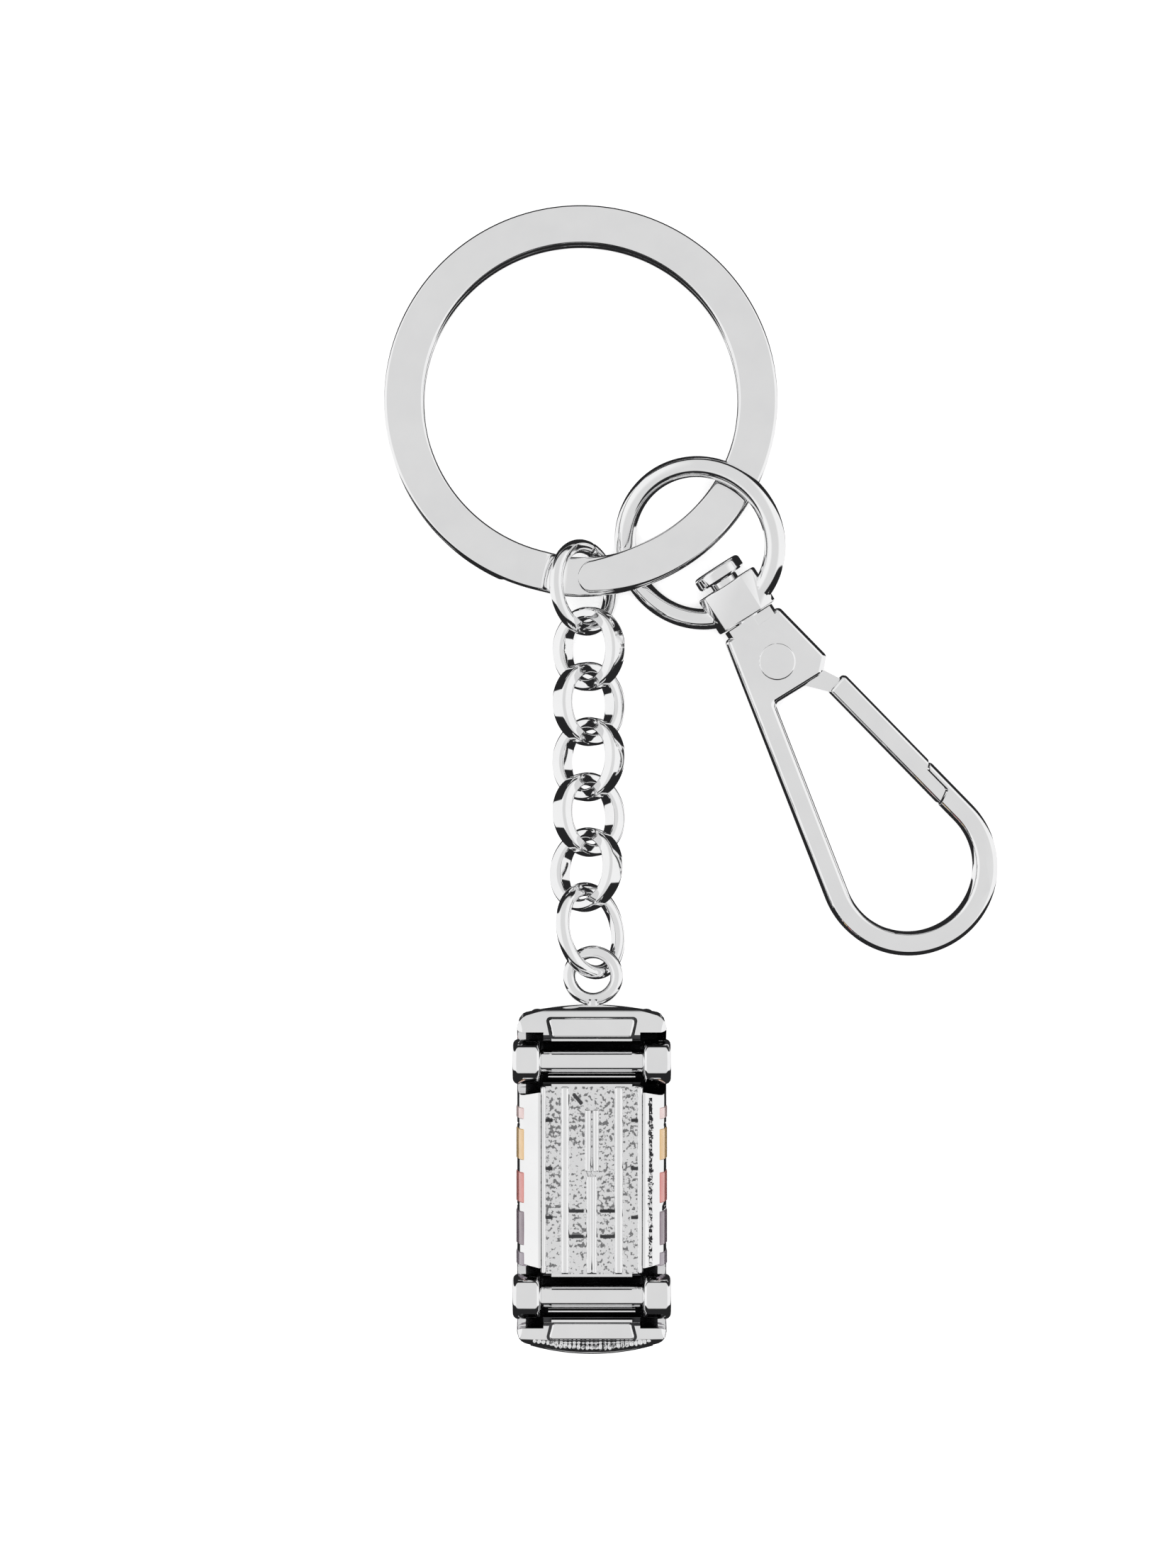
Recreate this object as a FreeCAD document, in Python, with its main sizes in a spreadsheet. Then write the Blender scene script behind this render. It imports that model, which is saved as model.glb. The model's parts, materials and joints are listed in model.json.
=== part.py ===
import FreeCAD, Part
import math
import os

import Sketcher
from FreeCAD import Placement, Rotation, Vector

# A keychain: a flat split ring that carries a swivel snap hook and a short chain with a car charm.
# Lengths are in millimetres. The origin is the centre of the split ring, +Y runs up the keychain,
# away from the charm, and +Z is up from the surface that the keychain lies on.

os.makedirs("parts", exist_ok=True)
doc = FreeCAD.newDocument("keychain")

# ---------------------------------------------------------------- driving dimensions

DIMENSIONS = [
    # split ring: two turns of flat wire
    ("ring_outer_radius", 15.0),
    ("ring_band_width", 3.0),
    ("ring_layer", 1.0),
    ("ring_layer_gap", 0.08),
    ("ring_edge_round", 0.28),
    ("ring_tilt", 4.2),
    ("ring_nose_angle", 269.0),
    ("ring_ramp_start", 256.5),
    ("ring_ramp_end", 267.0),
    ("ring_tail_angle", 249.0),
    # swivel eye and its post
    ("eye_x", 9.07),
    ("eye_y", -10.93),
    ("eye_drop", 0.15),
    ("eye_mean_radius", 5.9),
    ("eye_wire", 1.6),
    ("eye_tilt", 21.0),
    ("hub_start", 3.7),
    ("hub_end", 6.75),
    ("hub_half_width", 2.5),
    ("hub_half_height", 1.25),
    ("hub_chamfer", 0.85),
    ("post_radius", 1.1),
    ("post_clearance", 0.05),
    ("post_head_radius", 1.95),
    ("post_head_start", 2.2),
    ("post_head_length", 1.0),
    ("post_end", 8.5),
    # hook body, in the hook's own frame: u runs along the swivel axis from the eye's centre
    ("swivel_heading", -57.0),
    ("swivel_dip", 2.85),
    ("hook_thickness", 2.2),
    ("hook_edge", 0.38),
    ("hook_taper", 11.5),
    ("loop_centre", 29.5),
    ("loop_outer_radius", 6.8),
    ("hook_bar", 1.8),
    ("head_start", 7.35),
    ("head_end", 13.4),
    ("collar_start", 6.87),
    ("collar_radius", 2.1),
    ("slot_width", 1.0),
    ("slot_start", 8.95),
    ("slot_side", -1.8),
    # gate, its rivet and its spring
    ("rivet_u", 10.75),
    ("rivet_radius", 0.55),
    ("rivet_clearance", 0.05),
    ("rivet_head_radius", 1.42),
    ("rivet_head_height", 0.3),
    ("gate_thickness", 2.0),
    ("gate_lug_thickness", 0.84),
    ("gate_lug_radius", 1.45),
    ("gate_shoulder", 14.35),
    ("gate_edge", 0.36),
    ("gate_neck_inset", 0.35),
    ("latch_gap", 0.14),
    ("latch_length", 2.5),
    ("latch_reach", 1.75),
    ("latch_tongue", 0.52),
    ("latch_step", 0.45),
    ("spring_strip", 0.15),
    ("spring_gap", 0.1),
    ("spring_width", 0.7),
    ("spring_start_angle", 150.0),
    ("spring_end_angle", 262.0),
    # jump rings, chain links and the charm's eye
    ("jump_outer_radius", 3.7),
    ("jump_wire", 1.05),
    ("jump_slit", 2.0),
    ("link_outer_radius", 3.2),
    ("link_radial", 0.9),
    ("link_axial", 1.2),
    ("link_round", 0.28),
    ("charm_eye_outer_radius", 2.25),
    ("charm_eye_wire", 0.95),
    ("charm_eye_neck", 3.6),
    ("charm_eye_neck_start", 1.6),
    # car charm, on its roof: heights run from the roof up to the underside
    ("car_x", 0.83),
    ("car_y", -58.75),
    ("floor_z", -2.14),
    ("car_length", 25.9),
    ("car_width", 11.2),
    ("car_height", 10.1),
    ("car_wall", 1.2),
    ("rear_axle_y", 8.73),
    ("front_axle_y", -8.8),
    ("axle_height", 9.0),
    ("axle_radius", 0.92),
    ("axle_clearance", 0.04),
    ("journal_radius", 0.6),
    ("wheel_radius", 1.68),
    ("wheel_width", 2.1),
    ("wheel_outer_x", 5.9),
    ("wheel_shoulder", 0.25),
    ("rim_lip", 0.5),
    ("rim_wall", 0.75),
    ("rim_dish", 0.4),
    ("journal_inset", 0.25),
    ("arch_gap", 0.82),
    ("axle_slot_half", 1.52),
    ("axle_slot_floor", 7.6),
    ("plate_thickness", 0.9),
    ("plate_half_width", 3.8),
    ("plate_front_y", -7.0),
    ("plate_rear_y", 6.95),
    ("plate_fit", 0.02),
    ("rib_proud", 0.02),
    ("plate_recess", 0.3),
    ("enamel_depth", 0.35),
    ("enamel_low", 4.9),
    ("enamel_high", 9.0),
    ("corner_cut", 0.7),
    ("corner_run", 0.55),
    ("end_bow", 1.0),
]

sheet = doc.addObject("Spreadsheet::Sheet", "dims")
for row, (alias, value) in enumerate(DIMENSIONS, start=1):
    sheet.set(f"A{row}", alias)
    sheet.set(f"B{row}", str(value))
    sheet.setAlias(f"B{row}", alias)
doc.recompute()


def dim(alias):
    """One driving dimension, read back from the sheet."""
    return float(sheet.get(alias))


sub_parts = []


def keep(feature, label, placement=None):
    """Name a finished sub-part, put it in its place and list it for export."""
    feature.Label = label
    if placement is not None:
        feature.Placement = placement
    sub_parts.append(feature)
    return feature


def axes(origin, along, across):
    """A placement whose local X runs along one direction and whose local Y lies nearest another."""
    x_dir = Vector(along).normalize()
    z_dir = x_dir.cross(across).normalize()
    y_dir = z_dir.cross(x_dir)
    matrix = FreeCAD.Matrix(
        x_dir.x, y_dir.x, z_dir.x, origin.x,
        x_dir.y, y_dir.y, z_dir.y, origin.y,
        x_dir.z, y_dir.z, z_dir.z, origin.z,
        0, 0, 0, 1,
    )
    return Placement(matrix)


def heading(degrees):
    """A level direction, turned from +X towards +Y."""
    angle = math.radians(degrees)
    return Vector(math.cos(angle), math.sin(angle), 0)


def origin_plane(body, role):
    """One of a body's own origin planes, by its role."""
    return next(f for f in body.Origin.OriginFeatures if f.Role == role)


def profile_sketch(body, name, plane, corners):
    """A closed outline of straight sides whose corners are bound to expressions of the sheet."""
    sketch = body.newObject("Sketcher::SketchObject", name)
    sketch.AttachmentSupport = [(origin_plane(body, plane), "")]
    sketch.MapMode = "FlatFace"
    points = []
    for across_text, along_text in corners:
        across = float(sheet.evalExpression(across_text))
        along = float(sheet.evalExpression(along_text))
        points.append(Vector(across, along, 0))
    count = len(points)
    for index, point in enumerate(points):
        sketch.addGeometry(Part.LineSegment(point, points[(index + 1) % count]), False)
    for index in range(count):
        following = (index + 1) % count
        sketch.addConstraint(Sketcher.Constraint("Coincident", index, 2, following, 1))
    for index, (across_text, along_text) in enumerate(corners):
        for kind, text, axis in (("DistanceX", across_text, -2), ("DistanceY", along_text, -1)):
            value = float(sheet.evalExpression(text))
            if abs(value) < 1e-9:
                sketch.addConstraint(Sketcher.Constraint("PointOnObject", index, 1, axis))
                continue
            number = sketch.addConstraint(Sketcher.Constraint(kind, -1, 1, index, 1, value))
            sketch.setExpression(f"Constraints[{number}]", text)
    return sketch


def turned_body(label, corners, placement, rounding=None):
    """A piece turned about its local Z from an outline in the XZ plane, with rounded rims."""
    body = doc.addObject("PartDesign::Body", label)
    sketch = profile_sketch(body, label + "_profile", "XZ_Plane", corners)
    turn = body.newObject("PartDesign::Revolution", label + "_turn")
    turn.Profile = sketch
    turn.ReferenceAxis = (sketch, ["V_Axis"])
    turn.Angle = 360
    doc.recompute()
    if rounding is not None:
        rims = [f"Edge{n}" for n, edge in enumerate(turn.Shape.Edges, start=1)
                if isinstance(edge.Curve, Part.Circle) and edge.Length > 1.0]
        rim = body.newObject("PartDesign::Fillet", label + "_round")
        rim.Base = (turn, rims)
        rim.Radius = float(sheet.evalExpression(rounding))
        rim.setExpression("Radius", rounding)
        doc.recompute()
    return keep(body, label, placement)


def prism(outline, low, high):
    """A solid of a flat outline, from one height to another."""
    face = Part.Face(outline)
    face.translate(Vector(0, 0, low))
    return face.extrude(Vector(0, 0, high - low))


def shape_feature(label, shape, placement=None):
    """A sub-part whose solid is worked out from the sheet in this macro."""
    feature = doc.addObject("Part::Feature", label)
    feature.Shape = shape.removeSplitter()
    return keep(feature, label, placement)


# ---------------------------------------------------------------- split ring

ring_place = Placement(Vector(0, 0, 0), Rotation(Vector(1, 0, 0), -dim("ring_tilt")))


def ring_angle_point(degrees, radius, height):
    angle = math.radians(degrees)
    return Vector(radius * math.cos(angle), radius * math.sin(angle), height)


def split_ring_shape():
    """Two flat turns, joined by a short ramp where the upper turn dives under its own nose."""
    outer = dim("ring_outer_radius")
    width = dim("ring_band_width")
    inner = outer - width
    middle = outer - width / 2
    layer = dim("ring_layer")
    gap = dim("ring_layer_gap")
    round_off = dim("ring_edge_round")

    def sector(start, end, low):
        turn = Part.makeCylinder(outer, layer, Vector(0, 0, low), Vector(0, 0, 1), end - start)
        hole = Part.makeCylinder(inner, layer, Vector(0, 0, low))
        band = turn.cut(hole)
        band.rotate(Vector(0, 0, 0), Vector(0, 0, 1), start)
        rims = [e for e in band.Edges if isinstance(e.Curve, Part.Circle) and e.Length > 5.0]
        return band.makeFillet(round_off, rims)

    def rounded_end(degrees, low):
        centre = ring_angle_point(degrees, middle, low)
        disc = Part.makeCylinder(width / 2, layer, centre)
        rims = [e for e in disc.Edges if isinstance(e.Curve, Part.Circle)]
        return disc.makeFillet(round_off, rims)

    upper = gap / 2
    lower = -gap / 2 - layer
    end_turn = math.degrees((width / 2) / middle)
    nose = dim("ring_nose_angle") + end_turn
    tail = dim("ring_tail_angle") - end_turn
    ramp_start = dim("ring_ramp_start")
    ramp_end = dim("ring_ramp_end")
    front = sector(nose, ramp_start + 360, upper)
    back = sector(ramp_end, tail + 360, lower)

    # the ramp is drawn level along the tangent at its middle and cut to the band's two radii
    ramp_middle = (ramp_start + ramp_end) / 2
    half_run = middle * math.radians(ramp_end - ramp_start) / 2
    lead = 0.25    # how far the ramp laps onto the level turns
    drop = upper - lower
    points = [
        Vector(-half_run - lead, 0, upper),
        Vector(-half_run, 0, upper),
        Vector(half_run, 0, upper - drop),
        Vector(half_run + lead, 0, upper - drop),
        Vector(half_run + lead, 0, upper - drop + layer),
        Vector(half_run, 0, upper - drop + layer),
        Vector(-half_run, 0, upper + layer),
        Vector(-half_run - lead, 0, upper + layer),
    ]
    strip = Part.Face(Part.makePolygon(points + points[:1]))
    strip.translate(Vector(0, -outer - 1, 0))
    ramp = strip.extrude(Vector(0, width + 2, 0))
    ramp.rotate(Vector(0, 0, 0), Vector(0, 0, 1), ramp_middle + 90)
    tall = 6 * layer
    foot = Vector(0, 0, -tall / 2)
    tube = Part.makeCylinder(outer, tall, foot).cut(Part.makeCylinder(inner, tall, foot))
    ramp = ramp.common(tube)
    pieces = [back, ramp, rounded_end(nose, upper), rounded_end(tail, lower)]
    return front.multiFuse(pieces)


shape_feature("split_ring", split_ring_shape(), ring_place)

# ---------------------------------------------------------------- swivel eye and post

ring_slope = math.tan(math.radians(dim("ring_tilt")))
eye_centre = Vector(dim("eye_x"), dim("eye_y"), -dim("eye_y") * ring_slope - dim("eye_drop"))
swivel_level = heading(dim("swivel_heading"))
swivel_side = heading(dim("swivel_heading") + 90)
dip = math.radians(dim("swivel_dip"))
swivel_axis = swivel_level * math.cos(dip) - Vector(0, 0, math.sin(dip))
hook_place = axes(eye_centre, swivel_axis, swivel_side)
eye_place = hook_place.multiply(
    Placement(Vector(0, 0, 0), Rotation(Vector(1, 0, 0), dim("eye_tilt"))))


def swivel_eye():
    """A round wire eye with a bevelled hub, bored for the post."""
    wire = doc.addObject("Part::Torus", "eye_wire_ring")
    wire.setExpression("Radius1", "dims.eye_mean_radius")
    wire.setExpression("Radius2", "dims.eye_wire / 2")
    block = doc.addObject("Part::Box", "eye_hub_block")
    block.setExpression("Length", "dims.hub_end - dims.hub_start")
    block.setExpression("Width", "2 * dims.hub_half_width")
    block.setExpression("Height", "2 * dims.hub_half_height")
    block.Placement = Placement(
        Vector(dim("hub_start"), -dim("hub_half_width"), -dim("hub_half_height")), Rotation())
    doc.recompute()
    bevel = doc.addObject("Part::Chamfer", "eye_hub")
    bevel.Base = block
    cut = dim("hub_chamfer")
    bevel.Edges = [(n, cut, cut) for n, edge in enumerate(block.Shape.Edges, start=1)
                   if abs(edge.Vertexes[0].Point.x - edge.Vertexes[1].Point.x) > 1e-6]
    joined = doc.addObject("Part::Fuse", "eye_joined")
    joined.Base = wire
    joined.Tool = bevel
    bore = doc.addObject("Part::Cylinder", "eye_bore")
    bore.setExpression("Radius", "dims.post_radius + dims.post_clearance")
    bore.setExpression("Height", "dims.hub_end - dims.hub_start + 2")
    bore.Placement = Placement(Vector(dim("hub_start") - 1, 0, 0), Rotation(Vector(0, 1, 0), 90))
    eye = doc.addObject("Part::Cut", "swivel_eye_cut")
    eye.Base = joined
    eye.Tool = bore
    return keep(eye, "swivel_eye", eye_place)


swivel_eye()

along_swivel = Placement(Vector(0, 0, 0), Rotation(Vector(0, 1, 0), 90))
turned_body(
    "swivel_post",
    [
        ("0", "dims.post_head_start"),
        ("dims.post_head_radius", "dims.post_head_start"),
        ("dims.post_head_radius", "dims.post_head_start + dims.post_head_length"),
        ("dims.post_radius", "dims.post_head_start + dims.post_head_length"),
        ("dims.post_radius", "dims.post_end"),
        ("0", "dims.post_end"),
    ],
    hook_place.multiply(along_swivel),
)

# ---------------------------------------------------------------- hook body

taper = math.radians(dim("hook_taper"))
loop_centre = Vector(dim("loop_centre"), 0, 0)


def side_point(side, radius, run):
    """A point on the hook's tapered side, a run along it from its tangent point on the loop."""
    along = Vector(math.cos(taper), side * math.sin(taper), 0)
    outward = Vector(-math.sin(taper), side * math.cos(taper), 0)
    return loop_centre + outward * radius + along * run


def teardrop(radius, start):
    """A teardrop outline: two tapered sides, tangent to the loop and cut square at the start."""
    rise = (dim("loop_centre") - start) * math.tan(taper)
    half = radius / math.cos(taper) - rise
    low = side_point(-1, radius, 0)
    high = side_point(1, radius, 0)
    tip = loop_centre + Vector(radius, 0, 0)
    return Part.Wire([
        Part.LineSegment(Vector(start, -half, 0), low).toShape(),
        Part.Arc(low, tip, high).toShape(),
        Part.LineSegment(high, Vector(start, half, 0)).toShape(),
        Part.LineSegment(Vector(start, half, 0), Vector(start, -half, 0)).toShape(),
    ])


loop_outer = dim("loop_outer_radius")
loop_inner = loop_outer - dim("hook_bar")
latch_end = -dim("latch_reach")
latch_step = dim("latch_step")
latch_start = latch_end - dim("latch_length") - latch_step
latch_middle = loop_outer - dim("latch_tongue")


def latch_line(shift):
    """The stepped line where gate and nose meet, from outside to inside."""
    return [
        side_point(1, loop_outer + 0.6, latch_start + shift),
        side_point(1, loop_outer, latch_start + shift),
        side_point(1, latch_middle + shift, latch_start + latch_step + shift),
        side_point(1, latch_middle + shift, latch_end - latch_step + shift),
        side_point(1, loop_inner, latch_end + shift),
        side_point(1, loop_inner - 0.8, latch_end + shift),
    ]


def hook_body():
    """A forked head, a tapered spine and an open loop that ends in a nose."""
    half = dim("hook_thickness") / 2
    body = prism(teardrop(loop_outer, dim("head_start")), -half, half)
    window = prism(teardrop(loop_inner, dim("head_end")), -half - 1, half + 1)
    head_end = dim("head_end")
    gate_way = latch_line(0) + [Vector(head_end, 0, 0), Vector(head_end, 6, 0)]
    strip = prism(Part.makePolygon(gate_way + gate_way[:1]), -half - 1, half + 1)
    body = body.cut(window).cut(strip)
    # the latch's own edges stay sharp, so that gate and nose meet cleanly
    latch_low = side_point(1, loop_outer, latch_start).x - 0.5
    latch_high = side_point(1, loop_inner, latch_end).x + 0.5
    rims = []
    for edge in body.Edges:
        flat = all(abs(abs(v.Point.z) - half) < 1e-6 for v in edge.Vertexes)
        middle = edge.CenterOfMass
        in_latch = middle.y > 0 and latch_low < middle.x < latch_high
        if flat and not in_latch:
            rims.append(edge)
    body = body.makeChamfer(dim("hook_edge"), rims)

    collar = Part.makeCylinder(
        dim("collar_radius"), dim("head_start") - dim("collar_start") + 0.3,
        Vector(dim("collar_start"), 0, 0), Vector(1, 0, 0))
    cap = Part.makeBox(2.0, 6, 2 * half - 0.1, Vector(dim("collar_start"), -3, -half + 0.05))
    body = body.fuse(collar.common(cap))

    slot_half = dim("slot_width") / 2
    slot = Part.makeBox(
        dim("head_end") - dim("slot_start"), 9, 2 * slot_half,
        Vector(dim("slot_start"), dim("slot_side"), -slot_half))
    body = body.cut(slot)

    post_bore = Part.makeCylinder(
        dim("post_radius"), dim("post_end") - dim("collar_start") + 1,
        Vector(dim("collar_start") - 1, 0, 0), Vector(1, 0, 0))
    rivet_hole = Part.makeCylinder(
        dim("rivet_radius"), 4 * half, Vector(dim("rivet_u"), 0, -2 * half))
    return body.cut(post_bore).cut(rivet_hole)


shape_feature("hook_body", hook_body(), hook_place)

# ---------------------------------------------------------------- gate, rivet and spring


def gate():
    """A sprung bar that closes the loop, with a thin lug that turns in the head's fork."""
    half = dim("gate_thickness") / 2
    lug_half = dim("gate_lug_thickness") / 2
    gap = dim("latch_gap")
    shoulder = (dim("gate_shoulder") - side_point(1, loop_outer, 0).x) / math.cos(taper)
    inset = dim("gate_neck_inset")
    outline = [side_point(1, loop_outer, shoulder)] + latch_line(-gap)[1:5]
    outline.append(side_point(1, loop_inner, shoulder + inset))
    bar = prism(Part.makePolygon(outline + outline[:1]), -half, half)
    long_edges = [e for e in bar.Edges
                  if e.Length > 6.0 and all(abs(abs(v.Point.z) - half) < 1e-6 for v in e.Vertexes)]
    bar = bar.makeChamfer(dim("gate_edge"), long_edges)

    pivot = Vector(dim("rivet_u"), 0, 0)
    radius = dim("gate_lug_radius")
    disc = Part.makeCylinder(radius, 2 * lug_half, pivot - Vector(0, 0, lug_half))
    neck = [
        pivot + Vector(0.3, radius - 0.1, 0),
        side_point(1, loop_outer - inset, shoulder + 0.4),
        side_point(1, loop_inner + inset, shoulder + 0.9),
        pivot + Vector(radius - 0.25, -0.55, 0),
    ]
    arm = prism(Part.makePolygon(neck + neck[:1]), -lug_half, lug_half)
    bore = Part.makeCylinder(
        dim("rivet_radius") + dim("rivet_clearance"), 4 * half, pivot - Vector(0, 0, 2 * half))
    return bar.multiFuse([disc, arm]).cut(bore)


shape_feature("gate", gate(), hook_place)

rivet_place = hook_place.multiply(Placement(
    Vector(dim("rivet_u"), 0, -dim("hook_thickness") / 2 - dim("rivet_head_height")), Rotation()))
rivet_length = "dims.hook_thickness + dims.rivet_head_height"
turned_body(
    "gate_rivet",
    [
        ("0", "0"),
        ("dims.rivet_head_radius", "0"),
        ("dims.rivet_head_radius", "dims.rivet_head_height"),
        ("dims.rivet_radius", "dims.rivet_head_height"),
        ("dims.rivet_radius", rivet_length),
        ("dims.rivet_head_radius", rivet_length),
        ("dims.rivet_head_radius", rivet_length + " + dims.rivet_head_height"),
        ("0", rivet_length + " + dims.rivet_head_height"),
    ],
    rivet_place,
)


def gate_spring():
    """A bent strip behind the lug, between the fork's floor and the gate's heel."""
    strip = dim("spring_strip")
    half = dim("spring_width") / 2
    reach = dim("gate_lug_radius") + dim("spring_gap")
    pivot = Vector(dim("rivet_u"), 0, 0)
    start = math.radians(dim("spring_start_angle"))
    end = math.radians(dim("spring_end_angle"))
    middle = (start + end) / 2

    def on_circle(radius, angle):
        return pivot + Vector(radius * math.cos(angle), radius * math.sin(angle), 0)

    wire = Part.Wire([
        Part.Arc(on_circle(reach, start), on_circle(reach, middle), on_circle(reach, end)).toShape(),
        Part.LineSegment(on_circle(reach, end), on_circle(reach + strip, end)).toShape(),
        Part.Arc(on_circle(reach + strip, end), on_circle(reach + strip, middle),
                 on_circle(reach + strip, start)).toShape(),
        Part.LineSegment(on_circle(reach + strip, start), on_circle(reach, start)).toShape(),
    ])
    return prism(wire, -half, half)


shape_feature("gate_spring", gate_spring(), hook_place)

# ---------------------------------------------------------------- chain

# the chain runs down from the split ring to the charm's eye; each loop leans up to one side
LEAN = 41.0
CHAIN = [
    # label, kind, centre, lean: positive has its right side up
    ("jump_ring_top", "jump", Vector(0.20, -14.30, 0.60), -50.0),
    ("link_1", "link", Vector(0.60, -19.00, 0.72), LEAN),
    ("link_2", "link", Vector(0.62, -23.20, 0.95), -LEAN),
    ("link_3", "link", Vector(0.58, -27.42, 1.45), LEAN),
    ("link_4", "link", Vector(0.62, -31.62, 2.20), -LEAN),
    ("link_5", "link", Vector(0.40, -35.78, 3.10), LEAN),
    ("jump_ring_bottom", "jump", Vector(0.75, -40.35, 4.45), -50.0),
]
charm_eye_centre = Vector(0.93, -43.70, 4.95)


def chain_place(index):
    """Local X across the loop, local Y along the chain, from the next loop to the last one."""
    centres = [loop[2] for loop in CHAIN] + [charm_eye_centre]
    centre = centres[index]
    along = centres[max(index - 1, 0)] - centres[index + 1]
    along.normalize()
    level = Vector(along.y, -along.x, 0).normalize()
    upward = level.cross(along)
    lean = math.radians(CHAIN[index][3])
    across = level * math.cos(lean) + upward * math.sin(lean)
    return axes(centre, across, along)


def jump_ring(label, placement):
    """A round wire ring, closed but for the slit where its ends meet."""
    ring = doc.addObject("Part::Torus", label)
    ring.setExpression("Radius1", "dims.jump_outer_radius - dims.jump_wire / 2")
    ring.setExpression("Radius2", "dims.jump_wire / 2")
    ring.setExpression("Angle3", "360 - dims.jump_slit")
    return keep(ring, label, placement)


def chain_link(label, placement):
    """A thick closed link of rounded rectangular section, turned about its own axis."""
    outer = "dims.link_outer_radius"
    inner = "dims.link_outer_radius - dims.link_radial"
    standing = placement.multiply(Placement(Vector(0, 0, -dim("link_axial") / 2), Rotation()))
    corners = [(inner, "0"), (outer, "0"), (outer, "dims.link_axial"), (inner, "dims.link_axial")]
    return turned_body(label, corners, standing, rounding="dims.link_round")


for index, loop in enumerate(CHAIN):
    maker = jump_ring if loop[1] == "jump" else chain_link
    maker(loop[0], chain_place(index))

# ---------------------------------------------------------------- car charm

car_place = Placement(Vector(dim("car_x"), dim("car_y"), dim("floor_z")), Rotation())
half_length = dim("car_length") / 2
half_width = dim("car_width") / 2
height = dim("car_height")

# side outline (along, up from the roof), front at the low end: a plain two-box hatchback
SIDE = [
    (-half_length + 0.75, height), (-half_length, 8.6), (-half_length, 7.0), (-11.9, 5.5),
    (-6.2, 4.2), (-1.6, 0.25), (-0.6, 0.0), (9.2, 0.0), (10.4, 0.45),
    (12.2, 4.4), (half_length - 0.35, 6.2), (half_length, 7.2), (half_length, 8.6),
    (half_length - 0.75, height),
]
# half of the cross outline (across, up from the roof), mirrored for the other flank
FLANK = [
    (3.6, 0.0), (4.25, 0.5), (5.25, 4.4), (half_width, 6.3), (half_width, 7.2), (5.2, 9.3),
    (4.7, height),
]


def car_plan():
    """The plan outline: straight flanks, cut corners and bowed ends."""
    inset = half_width - dim("corner_cut")
    flank_end = half_length - dim("corner_run") - dim("end_bow")
    corner = half_length - dim("end_bow")
    points = []
    for side_x, side_y in ((1, 1), (-1, 1), (-1, -1), (1, -1)):
        flank = Vector(side_x * half_width, side_y * flank_end, 0)
        end = Vector(side_x * inset, side_y * corner, 0)
        points += [flank, end] if side_x == side_y else [end, flank]
    edges = []
    for index, point in enumerate(points):
        following = points[(index + 1) % len(points)]
        across_the_end = index in (1, 5)
        if across_the_end:
            tip = Vector(0, math.copysign(half_length, point.y), 0)
            edges.append(Part.Arc(point, tip, following).toShape())
        else:
            edges.append(Part.LineSegment(point, following).toShape())
    return Part.Wire(edges)


def car_outer():
    """The charm's outer form: side, cross and plan outlines together."""
    side = Part.makePolygon([Vector(-10, y, z) for y, z in SIDE + SIDE[:1]])
    body = Part.Face(side).extrude(Vector(20, 0, 0))
    ring = [Vector(x, -20, z) for x, z in FLANK] + [Vector(-x, -20, z) for x, z in reversed(FLANK)]
    cross = Part.Face(Part.makePolygon(ring + ring[:1])).extrude(Vector(0, 40, 0))
    return body.common(cross).common(prism(car_plan(), -1, height + 1))


car_form = car_outer()


def block(low, high):
    size = Vector(*high) - Vector(*low)
    return Part.makeBox(size.x, size.y, size.z, Vector(*low))


def inlay(zone, shift):
    """The skin of the car's form within a zone, as deep as the enamel."""
    inner = car_form.copy()
    inner.translate(shift * dim("enamel_depth"))
    return zone.common(car_form).cut(inner)


ENAMEL = {
    # label: where each colour's panel starts and ends along the flank
    "enamel_pink": (4.45, 5.3),
    "enamel_amber": (1.4, 3.7),
    "enamel_red": (-1.8, 0.47),
    "enamel_plum": (-4.95, -2.45),
    "enamel_slate": (-6.5, -5.5),
}


def flank_pair(start, end):
    """The left and right panels of one colour."""
    low, high = dim("enamel_low"), dim("enamel_high")
    right = inlay(block((4.5, start, low), (6.5, end, high)), Vector(-1, 0, 0))
    left = inlay(block((-6.5, start, low), (-4.5, end, high)), Vector(1, 0, 0))
    return Part.makeCompound([right, left])


def window_set():
    """Dark enamel where the glass would be: windscreen, tailgate window and side windows."""
    screen = inlay(block((-3.7, -5.6, 0.9), (3.7, -2.3, 3.7)), Vector(0, 0.66, 0.75))
    tail = inlay(block((-3.7, 10.4, 1.0), (3.7, 12.2, 3.9)), Vector(0, -0.9, 0.4))
    panes = [screen, tail]
    for start, end in ((-1.7, 3.6), (4.3, 9.2)):
        panes.append(inlay(block((3.9, start, 1.0), (6.0, end, 3.9)), Vector(-1, 0, 0.1)))
        panes.append(inlay(block((-6.0, start, 1.0), (-3.9, end, 3.9)), Vector(1, 0, 0.1)))
    return panes


windows = Part.makeCompound([solid for pane in window_set() for solid in pane.Solids])

arch_radius = dim("wheel_radius") + dim("arch_gap")
arch_inner = dim("wheel_outer_x") - dim("wheel_width") - 0.2
axle_rows = {"rear": dim("rear_axle_y"), "front": dim("front_axle_y")}


def arches(radius):
    """The round hollows over the four wheels."""
    hollows = []
    for along in axle_rows.values():
        for side in (1, -1):
            start = Vector(side * arch_inner, along, dim("axle_height"))
            hollows.append(Part.makeCylinder(radius, 4, start, Vector(side, 0, 0)))
    return hollows


panels = {label: flank_pair(*span).cut(arches(arch_radius + 0.12)) for label, span in ENAMEL.items()}


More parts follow.
